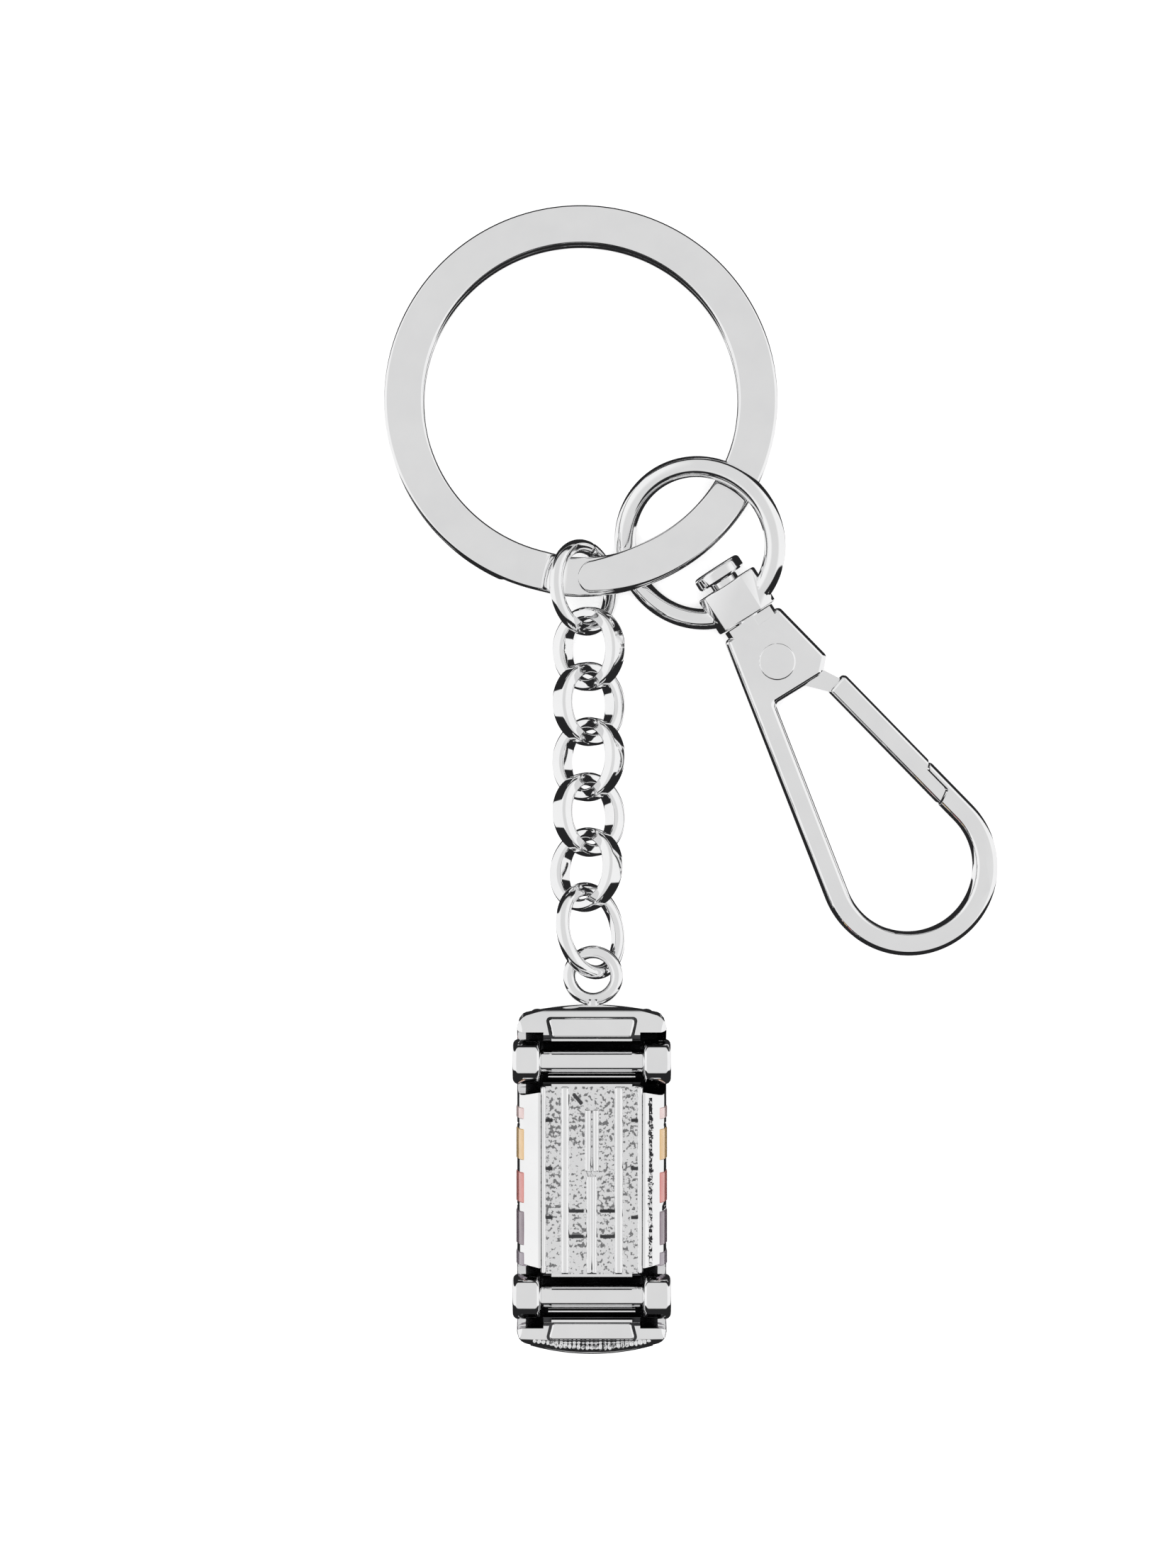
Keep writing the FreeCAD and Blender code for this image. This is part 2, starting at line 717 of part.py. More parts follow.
def valance_recesses():
    """Shallow recesses at both ends of the underside, each around a raised trapezoid."""
    face = height - dim("plate_recess")
    recesses = []
    for near, far in ((10.45, 12.1), (-10.55, -12.0)):
        floor = block((-4.3, min(near, far), face), (4.3, max(near, far), height + 1))
        pad = Part.makePolygon([
            Vector(-2.95, near, 0), Vector(2.95, near, 0), Vector(3.3, far, 0), Vector(-3.3, far, 0),
            Vector(-2.95, near, 0)])
        recesses += floor.cut(prism(pad, face - 1, height + 2)).Solids
    return recesses


def car_body():
    """The cast shell: hollow between the axles, with slots for them and arches for the wheels."""
    body = car_form
    plate_low = height - dim("plate_thickness")
    half_plate = dim("plate_half_width")
    front = dim("plate_front_y")
    rear = dim("plate_rear_y")
    wall = dim("car_wall")
    tools = [
        block((-half_plate, front, plate_low), (half_plate, rear, height + 1)),
        block((-half_plate + 0.5, -1.6, wall), (half_plate - 0.5, rear - 0.3, plate_low + 0.1)),
        block((-half_plate + 0.5, front + 0.3, 5.6), (half_plate - 0.5, -1.5, plate_low + 0.1)),
    ]
    for along in axle_rows.values():
        slot_end = arch_inner - 0.35
        slot_half = dim("axle_slot_half")
        tools.append(block((-slot_end, along - slot_half, dim("axle_slot_floor")),
                           (slot_end, along + slot_half, height + 1)))
        bearing = Part.makeCylinder(
            dim("axle_radius") + dim("axle_clearance"), 12,
            Vector(-6, along, dim("axle_height")), Vector(1, 0, 0))
        tools.append(bearing)
    tools += arches(arch_radius) + valance_recesses()
    for pair in panels.values():
        tools += pair.Solids
    tools += windows.Solids
    # the charm eye's shank is cast into the tail
    tools.append(charm_shank())
    return body.cut(tools)


def charm_shank():
    """The shank's own space in the tail."""
    eye_low = charm_eye_centre - car_place.Base
    return Part.makeCylinder(
        dim("charm_eye_wire") / 2, dim("charm_eye_neck"),
        eye_low - Vector(0, dim("charm_eye_neck_start"), 0), Vector(0, -1, 0))


shape_feature("car_body", car_body(), car_place)


def charm_eye():
    """A round wire eye on a short shank that is cast into the car's tail."""
    ring = doc.addObject("Part::Torus", "charm_eye_ring")
    ring.setExpression("Radius1", "dims.charm_eye_outer_radius - dims.charm_eye_wire / 2")
    ring.setExpression("Radius2", "dims.charm_eye_wire / 2")
    shank = doc.addObject("Part::Cylinder", "charm_eye_shank")
    shank.setExpression("Radius", "dims.charm_eye_wire / 2")
    shank.setExpression("Height", "dims.charm_eye_neck")
    shank.Placement = Placement(Vector(0, -dim("charm_eye_neck_start"), 0), Rotation(Vector(1, 0, 0), 90))
    eye = doc.addObject("Part::Fuse", "charm_eye_joined")
    eye.Base = ring
    eye.Tool = shank
    return keep(eye, "charm_eye", Placement(charm_eye_centre, Rotation()))


charm_eye()


# raised marks of the underside: middle across, middle along, half width, half length
PLATE_MIDDLE = (dim("plate_rear_y") + dim("plate_front_y")) / 2
PLATE_HALF = (dim("plate_rear_y") - dim("plate_front_y")) / 2
RIBS = [
    (0.0, -3.3, 0.38, 3.7), (0.0, 0.45, 0.55, 0.25),
]
MIRRORED_RIBS = [
    (2.0, PLATE_MIDDLE, 0.3, PLATE_HALF), (3.58, PLATE_MIDDLE, 0.18, PLATE_HALF), (0.37, 2.9, 0.2, 2.4),
    (3.28, 4.42, 0.36, 0.12), (3.28, 0.83, 0.36, 0.12), (3.28, -2.81, 0.36, 0.12),
    (1.18, -2.33, 0.57, 0.12), (1.18, -4.23, 0.57, 0.12),
]


def chassis_plate():
    """The underside plate between the axles, with its ribs and cross marks."""
    low = height - dim("plate_thickness")
    face = height - dim("plate_recess")
    fit = dim("plate_fit")
    half_plate = dim("plate_half_width") - fit
    front = dim("plate_front_y") + fit
    rear = dim("plate_rear_y") - fit
    marks = RIBS + [(side * across, *rest) for across, *rest in MIRRORED_RIBS for side in (-1, 1)]
    ribs = []
    for across, along, half_across, half_along in marks:
        start = max(along - half_along, front)
        end = min(along + half_along, rear)
        ribs.append(block((across - half_across, start, face - 0.1),
                          (across + half_across, end, height + dim("rib_proud"))))
    return block((-half_plate, front, low), (half_plate, rear, face)).multiFuse(ribs)


shape_feature("chassis_plate", chassis_plate(), car_place)


def axle(label, along):
    """A plain axle with a thinner journal at each end for its wheels."""
    shaft_end = dim("wheel_outer_x") - dim("wheel_width")
    journal_end = dim("wheel_outer_x") - dim("journal_inset")
    shaft = doc.addObject("Part::Cylinder", label + "_shaft")
    shaft.setExpression("Radius", "dims.axle_radius")
    shaft.setExpression("Height", "2 * (dims.wheel_outer_x - dims.wheel_width)")
    shaft.Placement = Placement(Vector(0, 0, -shaft_end), Rotation())
    journals = doc.addObject("Part::Cylinder", label + "_journals")
    journals.setExpression("Radius", "dims.journal_radius")
    journals.setExpression("Height", "2 * (dims.wheel_outer_x - dims.journal_inset)")
    journals.Placement = Placement(Vector(0, 0, -journal_end), Rotation())
    joined = doc.addObject("Part::Fuse", label + "_joined")
    joined.Base = shaft
    joined.Tool = journals
    across = Placement(Vector(0, along, dim("axle_height")), Rotation(Vector(0, 1, 0), 90))
    return keep(joined, label, car_place.multiply(across))


def wheel(label, along, side):
    """A cast wheel: tyre, dished rim and hub in one, bored for the journal."""
    radius = "dims.wheel_radius"
    width = "dims.wheel_width"
    shoulder = "dims.wheel_shoulder"
    corners = [
        ("dims.journal_radius", "0"),
        (f"{radius} - {shoulder}", "0"),
        (radius, shoulder),
        (radius, f"{width} - {shoulder}"),
        (f"{radius} - {shoulder}", width),
        (f"{radius} - dims.rim_lip", width),
        (f"{radius} - dims.rim_wall", f"{width} - dims.rim_dish"),
        ("dims.journal_radius + 0.25", f"{width} - dims.rim_dish"),
        ("dims.journal_radius + 0.12", f"{width} - 0.1"),
        ("dims.journal_radius", f"{width} - 0.1"),
    ]
    inner = side * (dim("wheel_outer_x") - dim("wheel_width"))
    place = Placement(Vector(inner, along, dim("axle_height")), Rotation(Vector(0, 1, 0), 90 * side))
    return turned_body(label, corners, car_place.multiply(place))


for row, along in axle_rows.items():
    axle(f"{row}_axle", along)
    wheel(f"wheel_{row}_left", along, -1)
    wheel(f"wheel_{row}_right", along, 1)

for enamel_label, pair in panels.items():
    shape_feature(enamel_label, pair, car_place)
shape_feature("windows", windows, car_place)

# ---------------------------------------------------------------- checks and export

doc.recompute()
for item in doc.Objects:
    if "Invalid" in item.State or "Error" in item.State:
        raise RuntimeError(f"{item.Label} failed: {item.State}")
for part in sub_parts:
    if part.Shape.isNull() or not part.Shape.isValid():
        raise RuntimeError(f"{part.Label} has no valid shape")
for part in sub_parts:
    part.Shape.exportStep(f"parts/{part.Label}.step")
    print(f"{part.Label}: {len(part.Shape.Solids)} solid(s), {part.Shape.Volume:.2f} mm3")
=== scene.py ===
import json
import math
import random

import bmesh
import bpy
from mathutils import Matrix, Vector


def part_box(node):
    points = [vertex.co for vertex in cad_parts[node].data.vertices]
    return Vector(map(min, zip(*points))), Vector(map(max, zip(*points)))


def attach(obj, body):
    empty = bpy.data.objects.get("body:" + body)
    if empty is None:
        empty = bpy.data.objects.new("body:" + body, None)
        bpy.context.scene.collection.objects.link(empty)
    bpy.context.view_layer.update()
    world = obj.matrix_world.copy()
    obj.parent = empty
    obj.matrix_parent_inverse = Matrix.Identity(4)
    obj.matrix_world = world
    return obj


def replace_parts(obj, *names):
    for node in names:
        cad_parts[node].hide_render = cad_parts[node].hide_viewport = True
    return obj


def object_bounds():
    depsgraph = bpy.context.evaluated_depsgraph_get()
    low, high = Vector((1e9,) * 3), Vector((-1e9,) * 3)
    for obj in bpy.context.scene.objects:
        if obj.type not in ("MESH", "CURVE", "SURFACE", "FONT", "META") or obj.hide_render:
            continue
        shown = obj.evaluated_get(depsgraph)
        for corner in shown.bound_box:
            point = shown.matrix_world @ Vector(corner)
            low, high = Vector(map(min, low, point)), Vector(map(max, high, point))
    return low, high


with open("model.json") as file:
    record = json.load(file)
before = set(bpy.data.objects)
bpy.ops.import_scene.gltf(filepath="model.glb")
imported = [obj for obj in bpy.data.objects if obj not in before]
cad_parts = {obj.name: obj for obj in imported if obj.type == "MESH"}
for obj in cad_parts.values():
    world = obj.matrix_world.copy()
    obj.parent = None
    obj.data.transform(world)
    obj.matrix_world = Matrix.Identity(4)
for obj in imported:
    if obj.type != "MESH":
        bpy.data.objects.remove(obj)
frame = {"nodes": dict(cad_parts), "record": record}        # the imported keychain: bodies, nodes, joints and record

# A chromed keychain that lies on a pale table: a flat split ring, a swivel snap hook, and a short
# chain with a small car charm on its roof. Lengths below are in millimetres and MM turns them into
# the scene's metres.

MM = 0.001
cad_low, cad_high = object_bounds()
random.seed(7)

# ---------------------------------------------------------------- camera, floor and light

CAMERA_PLACE = Vector((0.51, -29.3, 290.0)) * MM
FRAME_HEIGHT = 119.9
FLOOR_Z = cad_low.z
TENT_GREY = 0.72
TENT_BRIGHT = 0.92
TENT_CROWN = 0.94
TENT_CROWN_SOFT = 2.2
TINY = 0.0001
# how high the dark skyline stands, as the sine of its elevation, and where it is higher or lower
SKYLINE = 0.16
SKYLINE_TOWARD = 0.45
SKYLINE_SIDES = 1.35
SKYLINE_NARROW = 6.0
SKYLINE_SOFTNESS = 0.08
SKYLINE_DARK = 0.02


def make_camera():
    """Straight above the keychain, with its length up the frame."""
    data = bpy.data.cameras.new("camera")
    data.sensor_width = 36.0
    data.angle = 2 * math.atan(FRAME_HEIGHT / 2 / (CAMERA_PLACE.z / MM))
    data.clip_start = 0.01
    data.clip_end = 10.0
    camera = bpy.data.objects.new("camera", data)
    camera.location = CAMERA_PLACE
    bpy.context.scene.collection.objects.link(camera)
    bpy.context.scene.camera = camera


def link_nodes(tree, *pairs):
    for source, target in pairs:
        tree.links.new(source, target)


def make_floor():
    """A pale, softly lit table top, open when it is seen from below."""
    size = 2.0
    mesh = bpy.data.meshes.new("floor")
    corners = [(-size, -size, 0), (size, -size, 0), (size, size, 0), (-size, size, 0)]
    mesh.from_pydata(corners, [], [(0, 1, 2, 3)])
    floor = bpy.data.objects.new("floor", mesh)
    floor.location.z = FLOOR_Z - 0.00002
    floor.visible_glossy = False
    bpy.context.scene.collection.objects.link(floor)
    material = bpy.data.materials.new("table_white")
    material.use_nodes = True
    nodes = material.node_tree.nodes
    nodes.clear()
    output = nodes.new("ShaderNodeOutputMaterial")
    mix = nodes.new("ShaderNodeMixShader")
    paper = nodes.new("ShaderNodeAddShader")
    diffuse = nodes.new("ShaderNodeBsdfDiffuse")
    diffuse.inputs["Color"].default_value = (0.93, 0.93, 0.935, 1)
    glow = nodes.new("ShaderNodeEmission")
    glow.inputs["Strength"].default_value = 0.5
    clear = nodes.new("ShaderNodeBsdfTransparent")
    geometry = nodes.new("ShaderNodeNewGeometry")
    link_nodes(
        material.node_tree,
        (geometry.outputs["Backfacing"], mix.inputs["Fac"]),
        (diffuse.outputs["BSDF"], paper.inputs[0]),
        (glow.outputs["Emission"], paper.inputs[1]),
        (paper.outputs["Shader"], mix.inputs[1]),
        (clear.outputs["BSDF"], mix.inputs[2]),
        (mix.outputs["Shader"], output.inputs["Surface"]),
    )
    mesh.materials.append(material)


def math_node(tree, operation, first, second, clamp=False):
    """A math node; each input is a socket or a number."""
    node = tree.nodes.new("ShaderNodeMath")
    node.operation = operation
    node.use_clamp = clamp
    for index, value in enumerate((first, second)):
        if isinstance(value, (int, float)):
            node.inputs[index].default_value = value
        else:
            tree.links.new(value, node.inputs[index])
    return node.outputs["Value"]


def make_world():
    """A soft tent: even grey overhead, bright to the left and right down to the table and
    below it, and dark low down in all other directions, highest toward the car's nose."""
    world = bpy.data.worlds.new("soft_tent")
    world.use_nodes = True
    tree = world.node_tree
    tree.nodes.clear()
    output = tree.nodes.new("ShaderNodeOutputWorld")
    background = tree.nodes.new("ShaderNodeBackground")
    direction = tree.nodes.new("ShaderNodeTexCoord")
    split = tree.nodes.new("ShaderNodeSeparateXYZ")
    tree.links.new(direction.outputs["Generated"], split.inputs["Vector"])
    across, along, up = split.outputs["X"], split.outputs["Y"], split.outputs["Z"]

    def calc(operation, first, second, clamp=False):
        return math_node(tree, operation, first, second, clamp)

    across_square = calc("MULTIPLY", across, across)
    level_square = calc("ADD", calc("ADD", across_square, calc("MULTIPLY", along, along)), TINY)
    sideways = calc("DIVIDE", across_square, level_square)
    toward = calc("MAXIMUM", calc("MULTIPLY", along, -1.0), 0.0)
    skyline = calc("ADD", SKYLINE, calc("MULTIPLY", toward, SKYLINE_TOWARD))
    flanks = calc("MULTIPLY", calc("POWER", sideways, SKYLINE_NARROW), SKYLINE_SIDES)
    above = calc("SUBTRACT", up, calc("SUBTRACT", skyline, flanks))
    opened = calc("ADD", calc("MULTIPLY", above, 1 / SKYLINE_SOFTNESS), 0.5, clamp=True)
    tilted = calc("MULTIPLY", calc("SUBTRACT", TENT_CROWN, up), TENT_CROWN_SOFT, clamp=True)
    brighter = calc("MULTIPLY", sideways, tilted)
    tent = tree.nodes.new("ShaderNodeValToRGB")
    tent.color_ramp.elements[0].position = 0.20
    tent.color_ramp.elements[0].color = (TENT_GREY, TENT_GREY, TENT_GREY, 1)
    tent.color_ramp.elements[1].position = 0.60
    tent.color_ramp.elements[1].color = (TENT_BRIGHT, TENT_BRIGHT, TENT_BRIGHT, 1)
    tree.links.new(brighter, tent.inputs["Fac"])
    mixed = tree.nodes.new("ShaderNodeMix")
    mixed.data_type = "RGBA"
    mixed.inputs["A"].default_value = (SKYLINE_DARK, SKYLINE_DARK, SKYLINE_DARK * 1.05, 1)
    tree.links.new(opened, mixed.inputs["Factor"])
    tree.links.new(tent.outputs["Color"], mixed.inputs["B"])
    tree.links.new(mixed.outputs["Result"], background.inputs["Color"])
    tree.links.new(background.outputs["Background"], output.inputs["Surface"])
    bpy.context.scene.world = world


def make_lights():
    """One broad overhead panel that lights the table evenly and stays out of the reflections."""
    data = bpy.data.lights.new("overhead_panel", "AREA")
    data.shape = "SQUARE"
    data.size = 0.5
    data.energy = 1.6
    panel = bpy.data.objects.new("overhead_panel", data)
    panel.location = (0, -0.03, 0.6)
    panel.visible_glossy = False
    panel.visible_camera = False
    bpy.context.scene.collection.objects.link(panel)


make_camera()
make_floor()
make_world()
make_lights()
bpy.context.scene.view_settings.view_transform = "Standard"

# ---------------------------------------------------------------- materials


def base_material(name):
    """A principled material, its nodes and its shader, with object coordinates in millimetres."""
    material = bpy.data.materials.new(name)
    material.use_nodes = True
    tree = material.node_tree
    shader = tree.nodes["Principled BSDF"]
    place = tree.nodes.new("ShaderNodeTexCoord")
    scale = tree.nodes.new("ShaderNodeMapping")
    scale.inputs["Scale"].default_value = (1 / MM, 1 / MM, 1 / MM)
    tree.links.new(place.outputs["Object"], scale.inputs["Vector"])
    return material, tree, shader, scale.outputs["Vector"]


def noise(tree, vector, scale, detail=3.0, rough=0.5):
    node = tree.nodes.new("ShaderNodeTexNoise")
    node.inputs["Scale"].default_value = scale
    node.inputs["Detail"].default_value = detail
    node.inputs["Roughness"].default_value = rough
    tree.links.new(vector, node.inputs["Vector"])
    return node.outputs["Fac"]


def ranged(tree, value, low, high, start=0.3, end=0.7):
    node = tree.nodes.new("ShaderNodeMapRange")
    node.inputs["From Min"].default_value = start
    node.inputs["From Max"].default_value = end
    node.inputs["To Min"].default_value = low
    node.inputs["To Max"].default_value = high
    tree.links.new(value, node.inputs["Value"])
    return node.outputs["Result"]


def bump(tree, shader, value, distance_mm, strength=1.0, below=None):
    node = tree.nodes.new("ShaderNodeBump")
    node.inputs["Strength"].default_value = strength
    node.inputs["Distance"].default_value = distance_mm * MM
    tree.links.new(value, node.inputs["Height"])
    if below is not None:
        tree.links.new(below, node.inputs["Normal"])
    tree.links.new(node.outputs["Normal"], shader.inputs["Normal"])
    return node.outputs["Normal"]


def tinted(tree, shader, value, dark, light, start=0.3, end=0.7):
    """Base colour that drifts between two close tones."""
    node = tree.nodes.new("ShaderNodeValToRGB")
    node.color_ramp.elements[0].position = start
    node.color_ramp.elements[0].color = (*dark, 1)
    node.color_ramp.elements[1].position = end
    node.color_ramp.elements[1].color = (*light, 1)
    tree.links.new(value, node.inputs["Fac"])
    tree.links.new(node.outputs["Color"], shader.inputs["Base Color"])


def polished_metal(name, dark, light, rough_low, rough_high, wave_mm=0.0006):
    """Mirror plate: faint cloudiness, fine polishing lines and a hint of waviness."""
    material, tree, shader, vector = base_material(name)
    shader.inputs["Metallic"].default_value = 1.0
    cloud = noise(tree, vector, 0.35)
    tinted(tree, shader, cloud, dark, light)
    lines = tree.nodes.new("ShaderNodeMapping")
    lines.inputs["Scale"].default_value = (0.6, 9.0, 9.0)
    lines.inputs["Rotation"].default_value = (0.2, 0.3, 0.5)
    tree.links.new(vector, lines.inputs["Vector"])
    scratch = noise(tree, lines.outputs["Vector"], 2.2, 5.0, 0.65)
    tree.links.new(ranged(tree, scratch, rough_low, rough_high, 0.35, 0.75), shader.inputs["Roughness"])
    soft = bump(tree, shader, noise(tree, vector, 0.5, 1.0), wave_mm)
    bump(tree, shader, scratch, 0.00025, 0.6, soft)
    return material


def hammered_metal(name, dark, start):
    """Cast and blasted floor: bright grains, with painted shade in the pits between them, denser in patches."""
    material, tree, shader, vector = base_material(name)
    shader.inputs["Metallic"].default_value = 1.0
    grain = noise(tree, vector, 3.4, 2.0, 0.55)
    patches = ranged(tree, noise(tree, vector, 0.32, 1.0), -0.06, 0.06)
    uneven = math_node(tree, "ADD", grain, patches)
    # the colour darkens where the grain is low, as the bump sinks: painted shade in the pits
    tinted(tree, shader, uneven, dark, CHROME_DARK, start, start + 0.07)
    cells = tree.nodes.new("ShaderNodeTexVoronoi")
    cells.inputs["Scale"].default_value = 3.4
    tree.links.new(vector, cells.inputs["Vector"])
    tree.links.new(ranged(tree, grain, 0.12, 0.3), shader.inputs["Roughness"])
    coarse = bump(tree, shader, cells.outputs["Distance"], 0.04, 0.7)
    bump(tree, shader, grain, 0.05, 0.7, coarse)
    return material


def enamel(name, dark, light):
    """Fired enamel: even colour with faint pooling, under a glassy coat with a little orange peel."""
    material, tree, shader, vector = base_material(name)
    tinted(tree, shader, noise(tree, vector, 0.8), dark, light)
    shader.inputs["Roughness"].default_value = 0.12
    shader.inputs["Coat Weight"].default_value = 0.8
    shader.inputs["Coat Roughness"].default_value = 0.03
    bump(tree, shader, noise(tree, vector, 1.8, 2.0), 0.004, 0.5)
    return material


CHROME_DARK = (0.93, 0.93, 0.935)
CHROME_LIGHT = (0.97, 0.97, 0.972)
# lowest and highest roughness, and the height of the waves in millimetres
CHROMES = {
    "ring_chrome": (0.02, 0.06, 0.0006),
    "hook_chrome": (0.025, 0.08, 0.001),
    "chain_chrome": (0.03, 0.1, 0.0012),
    "car_chrome": (0.03, 0.09, 0.0015),
    "axle_chrome": (0.04, 0.12, 0.002),
    "wheel_chrome": (0.03, 0.1, 0.0015),
}
ENAMELS = {
    "enamel_pink": ((0.70, 0.52, 0.50), (0.80, 0.62, 0.60)),
    "enamel_amber": ((0.68, 0.44, 0.19), (0.78, 0.52, 0.25)),
    "enamel_red": ((0.56, 0.18, 0.16), (0.66, 0.24, 0.21)),
    "enamel_plum": ((0.19, 0.14, 0.17), (0.26, 0.20, 0.23)),
    "enamel_slate": ((0.27, 0.23, 0.27), (0.34, 0.3, 0.34)),
    "window_enamel": ((0.012, 0.013, 0.016), (0.02, 0.022, 0.026)),
}
MATERIALS = {
    "spring_steel": polished_metal("spring_steel", (0.5, 0.5, 0.51), (0.6, 0.6, 0.61), 0.2, 0.35),
    "chassis_metal": hammered_metal("chassis_metal", (0.24, 0.24, 0.245), 0.40),
    # the seam's near-black tone is painted shade of its groove, over a rough hammered grain
    "seam_shade_metal": hammered_metal("seam_shade_metal", (0.05, 0.05, 0.055), 0.50),
    # recess_shadow is painted shade: a near-black metal laid where shade falls in hollows, grooves and marks
    "recess_shadow": polished_metal("recess_shadow", (0.035, 0.035, 0.037), (0.085, 0.085, 0.09),
                                    0.2, 0.35),
}
for finish, values in CHROMES.items():
    MATERIALS[finish] = polished_metal(finish, CHROME_DARK, CHROME_LIGHT, *values)
for finish, tones in ENAMELS.items():
    MATERIALS[finish] = enamel(finish, *tones)
NODE_SLOT = {entry["node"]: entry["material_slot"] for entry in frame["record"]["subparts"]}
NODE_BODY = {node: body for body, nodes in frame["record"]["behaviour"]["bodies"].items() for node in nodes}

for node_name, node_object in frame["nodes"].items():
    node_object.data.materials.clear()
    node_object.data.materials.append(MATERIALS[NODE_SLOT[node_name]])

# ---------------------------------------------------------------- mesh helpers


def loose_object(name, mesh):
    item = bpy.data.objects.new(name, mesh)
    bpy.context.scene.collection.objects.link(item)
    return item


def new_piece(name, mesh, node, finish=None):
    """A shown piece that rides with a CAD node's body, in that node's finish unless another is named."""
    piece = loose_object(name, mesh)
    piece.data.materials.clear()
    piece.data.materials.append(MATERIALS[finish or NODE_SLOT[node]])
    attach(piece, NODE_BODY[node])
    return piece


def replace_node(name, mesh, node):
    """A piece that is shown in place of its CAD node."""
    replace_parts(new_piece(name, mesh, node), node)


def smooth(mesh, angle=35.0):
    mesh.shade_smooth()
    mesh.set_sharp_from_angle(angle=math.radians(angle))


def arc(centre, radii, start, end, steps):
    """Points from one angle to another, in degrees, on an ellipse that stands along X and Y."""
    angles = [math.radians(start + (end - start) * step / steps) for step in range(steps + 1)]
    (x, y), (wide, tall) = centre, radii
    return [(x + wide * math.cos(angle), y + tall * math.sin(angle)) for angle in angles]


def rounded_rectangle(width, height, radius, steps=5):
    """Outline points, anticlockwise, of a rectangle about the origin with round corners."""
    points = []
    for corner, (sx, sy) in enumerate(((1, 1), (-1, 1), (-1, -1), (1, -1))):
        centre = (sx * (width / 2 - radius), sy * (height / 2 - radius))
        points += arc(centre, (radius, radius), 90 * corner, 90 * corner + 90, steps)
    return points


def circle_outline(radius, count):
    return arc((0, 0), (radius, radius), 0, 360, count)[:-1]


def finished_mesh(name, vertices, faces):
    """A smooth-shaded mesh with its faces turned outwards."""
    mesh = bpy.data.meshes.new(name)
    mesh.from_pydata(vertices, [], faces)
    work = bmesh.new()
    work.from_mesh(mesh)
    bmesh.ops.recalc_face_normals(work, faces=work.faces)
    work.to_mesh(mesh)
    work.free()
    smooth(mesh)
    return mesh


def swept_mesh(name, stations, closed):
    """A skin over rows of points, all of one length; an open sweep gets an end cap at each end."""
    rows = len(stations)
    across = len(stations[0])
    vertices = [Vector(point) * MM for row in stations for point in row]
    faces = []
    for row in range(rows if closed else rows - 1):
        following = (row + 1) % rows
        for column in range(across):
            beside = (column + 1) % across
            faces.append((row * across + column, row * across + beside,
                          following * across + beside, following * across + column))
    if not closed:
        faces.append(tuple(reversed(range(across))))
        faces.append(tuple(range((rows - 1) * across, rows * across)))
    return finished_mesh(name, vertices, faces)


JOINTS = {joint["name"]: joint for joint in frame["record"]["behaviour"]["joints"]}


def joint_place(name):
    return Vector(JOINTS[name]["pos_m"]) / MM


def joint_axis(name):
    return Vector(JOINTS[name]["axis"]).normalized()


def node_centre(node):
    low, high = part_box(node)
    return (Vector(low) + Vector(high)) / 2 / MM


def frame_of(origin, x_dir, y_dir):
    """A local frame, in millimetres, as a matrix."""
    z_dir = x_dir.cross(y_dir)
    matrix = Matrix.Identity(4)
    for column, axis in enumerate((x_dir, y_dir, z_dir, origin)):
        for row in range(3):
            matrix[row][column] = axis[row]
    return matrix


def placed(rows, matrix):
    return [[matrix @ Vector(point) for point in row] for row in rows]


def section_at(angle, radius, outline, height=0.0):
    """A section's points at an angle about local Z: its X is radial and its Y is along Z."""
    out = Vector((math.cos(angle), math.sin(angle), 0))
    return [out * (radius + across) + Vector((0, 0, height + up)) for across, up in outline]


def ring_rows(mean_radius, outline, steps):
    return [section_at(2 * math.pi * step / steps, mean_radius, outline) for step in range(steps)]


def turned_mesh(name, profile, matrix, steps=96):
    """A lathe shape about local Z from (radius, height) points; ends on the axis are closed."""
    vertices = []
    rows = []
    for radius, height in profile:
        if radius < 1e-6:
            rows.append([len(vertices)])
            vertices.append(matrix @ Vector((0, 0, height)) * MM)
            continue
        rows.append(list(range(len(vertices), len(vertices) + steps)))
        vertices += [matrix @ Vector((x, y, height)) * MM for x, y in circle_outline(radius, steps)]
    faces = []
    for lower, upper in zip(rows, rows[1:]):
        for step in range(steps):
            beside = (step + 1) % steps
            if len(lower) == 1:
                faces.append((lower[0], upper[beside], upper[step]))
            elif len(upper) == 1:
                faces.append((lower[step], lower[beside], upper[0]))
            else:
                faces.append((lower[step], lower[beside], upper[beside], upper[step]))
    return finished_mesh(name, vertices, faces)


def filleted(corners, steps=6):
    """An outline whose corners (x, y, radius) are rounded with arcs."""
    points = []
    count = len(corners)
    for index, (x, y, radius, *_) in enumerate(corners):
        corner = Vector((x, y))
        before = Vector(corners[index - 1][:2]) - corner
        after = Vector(corners[(index + 1) % count][:2]) - corner
        if radius <= 0:
            points.append(corner)
            continue
        half = before.angle(after) / 2
        reach = radius / math.tan(half)
        first = corner + before.normalized() * reach
        last = corner + after.normalized() * reach
        inward = (before.normalized() + after.normalized()).normalized()
        middle = corner + inward * (radius / math.sin(half))
        from_middle = first - middle
        turn = from_middle.angle_signed(last - middle)
        for step in range(steps + 1):
            rotated = from_middle.copy()
            rotated.rotate(Matrix.Rotation(-turn * step / steps, 2))
            points.append(middle + rotated)
    return points


def plate_mesh(name, outline, low, high, matrix):
    """A flat plate of an outline, between two heights of its local frame."""
    count = len(outline)
    vertices = [matrix @ Vector((x, y, low)) * MM for x, y in outline]
    vertices += [matrix @ Vector((x, y, high)) * MM for x, y in outline]
    faces = [tuple(range(count)), tuple(range(2 * count - 1, count - 1, -1))]
    for index in range(count):
        beside = (index + 1) % count
        faces.append((index, beside, count + beside, count + index))
    return finished_mesh(name, vertices, faces)


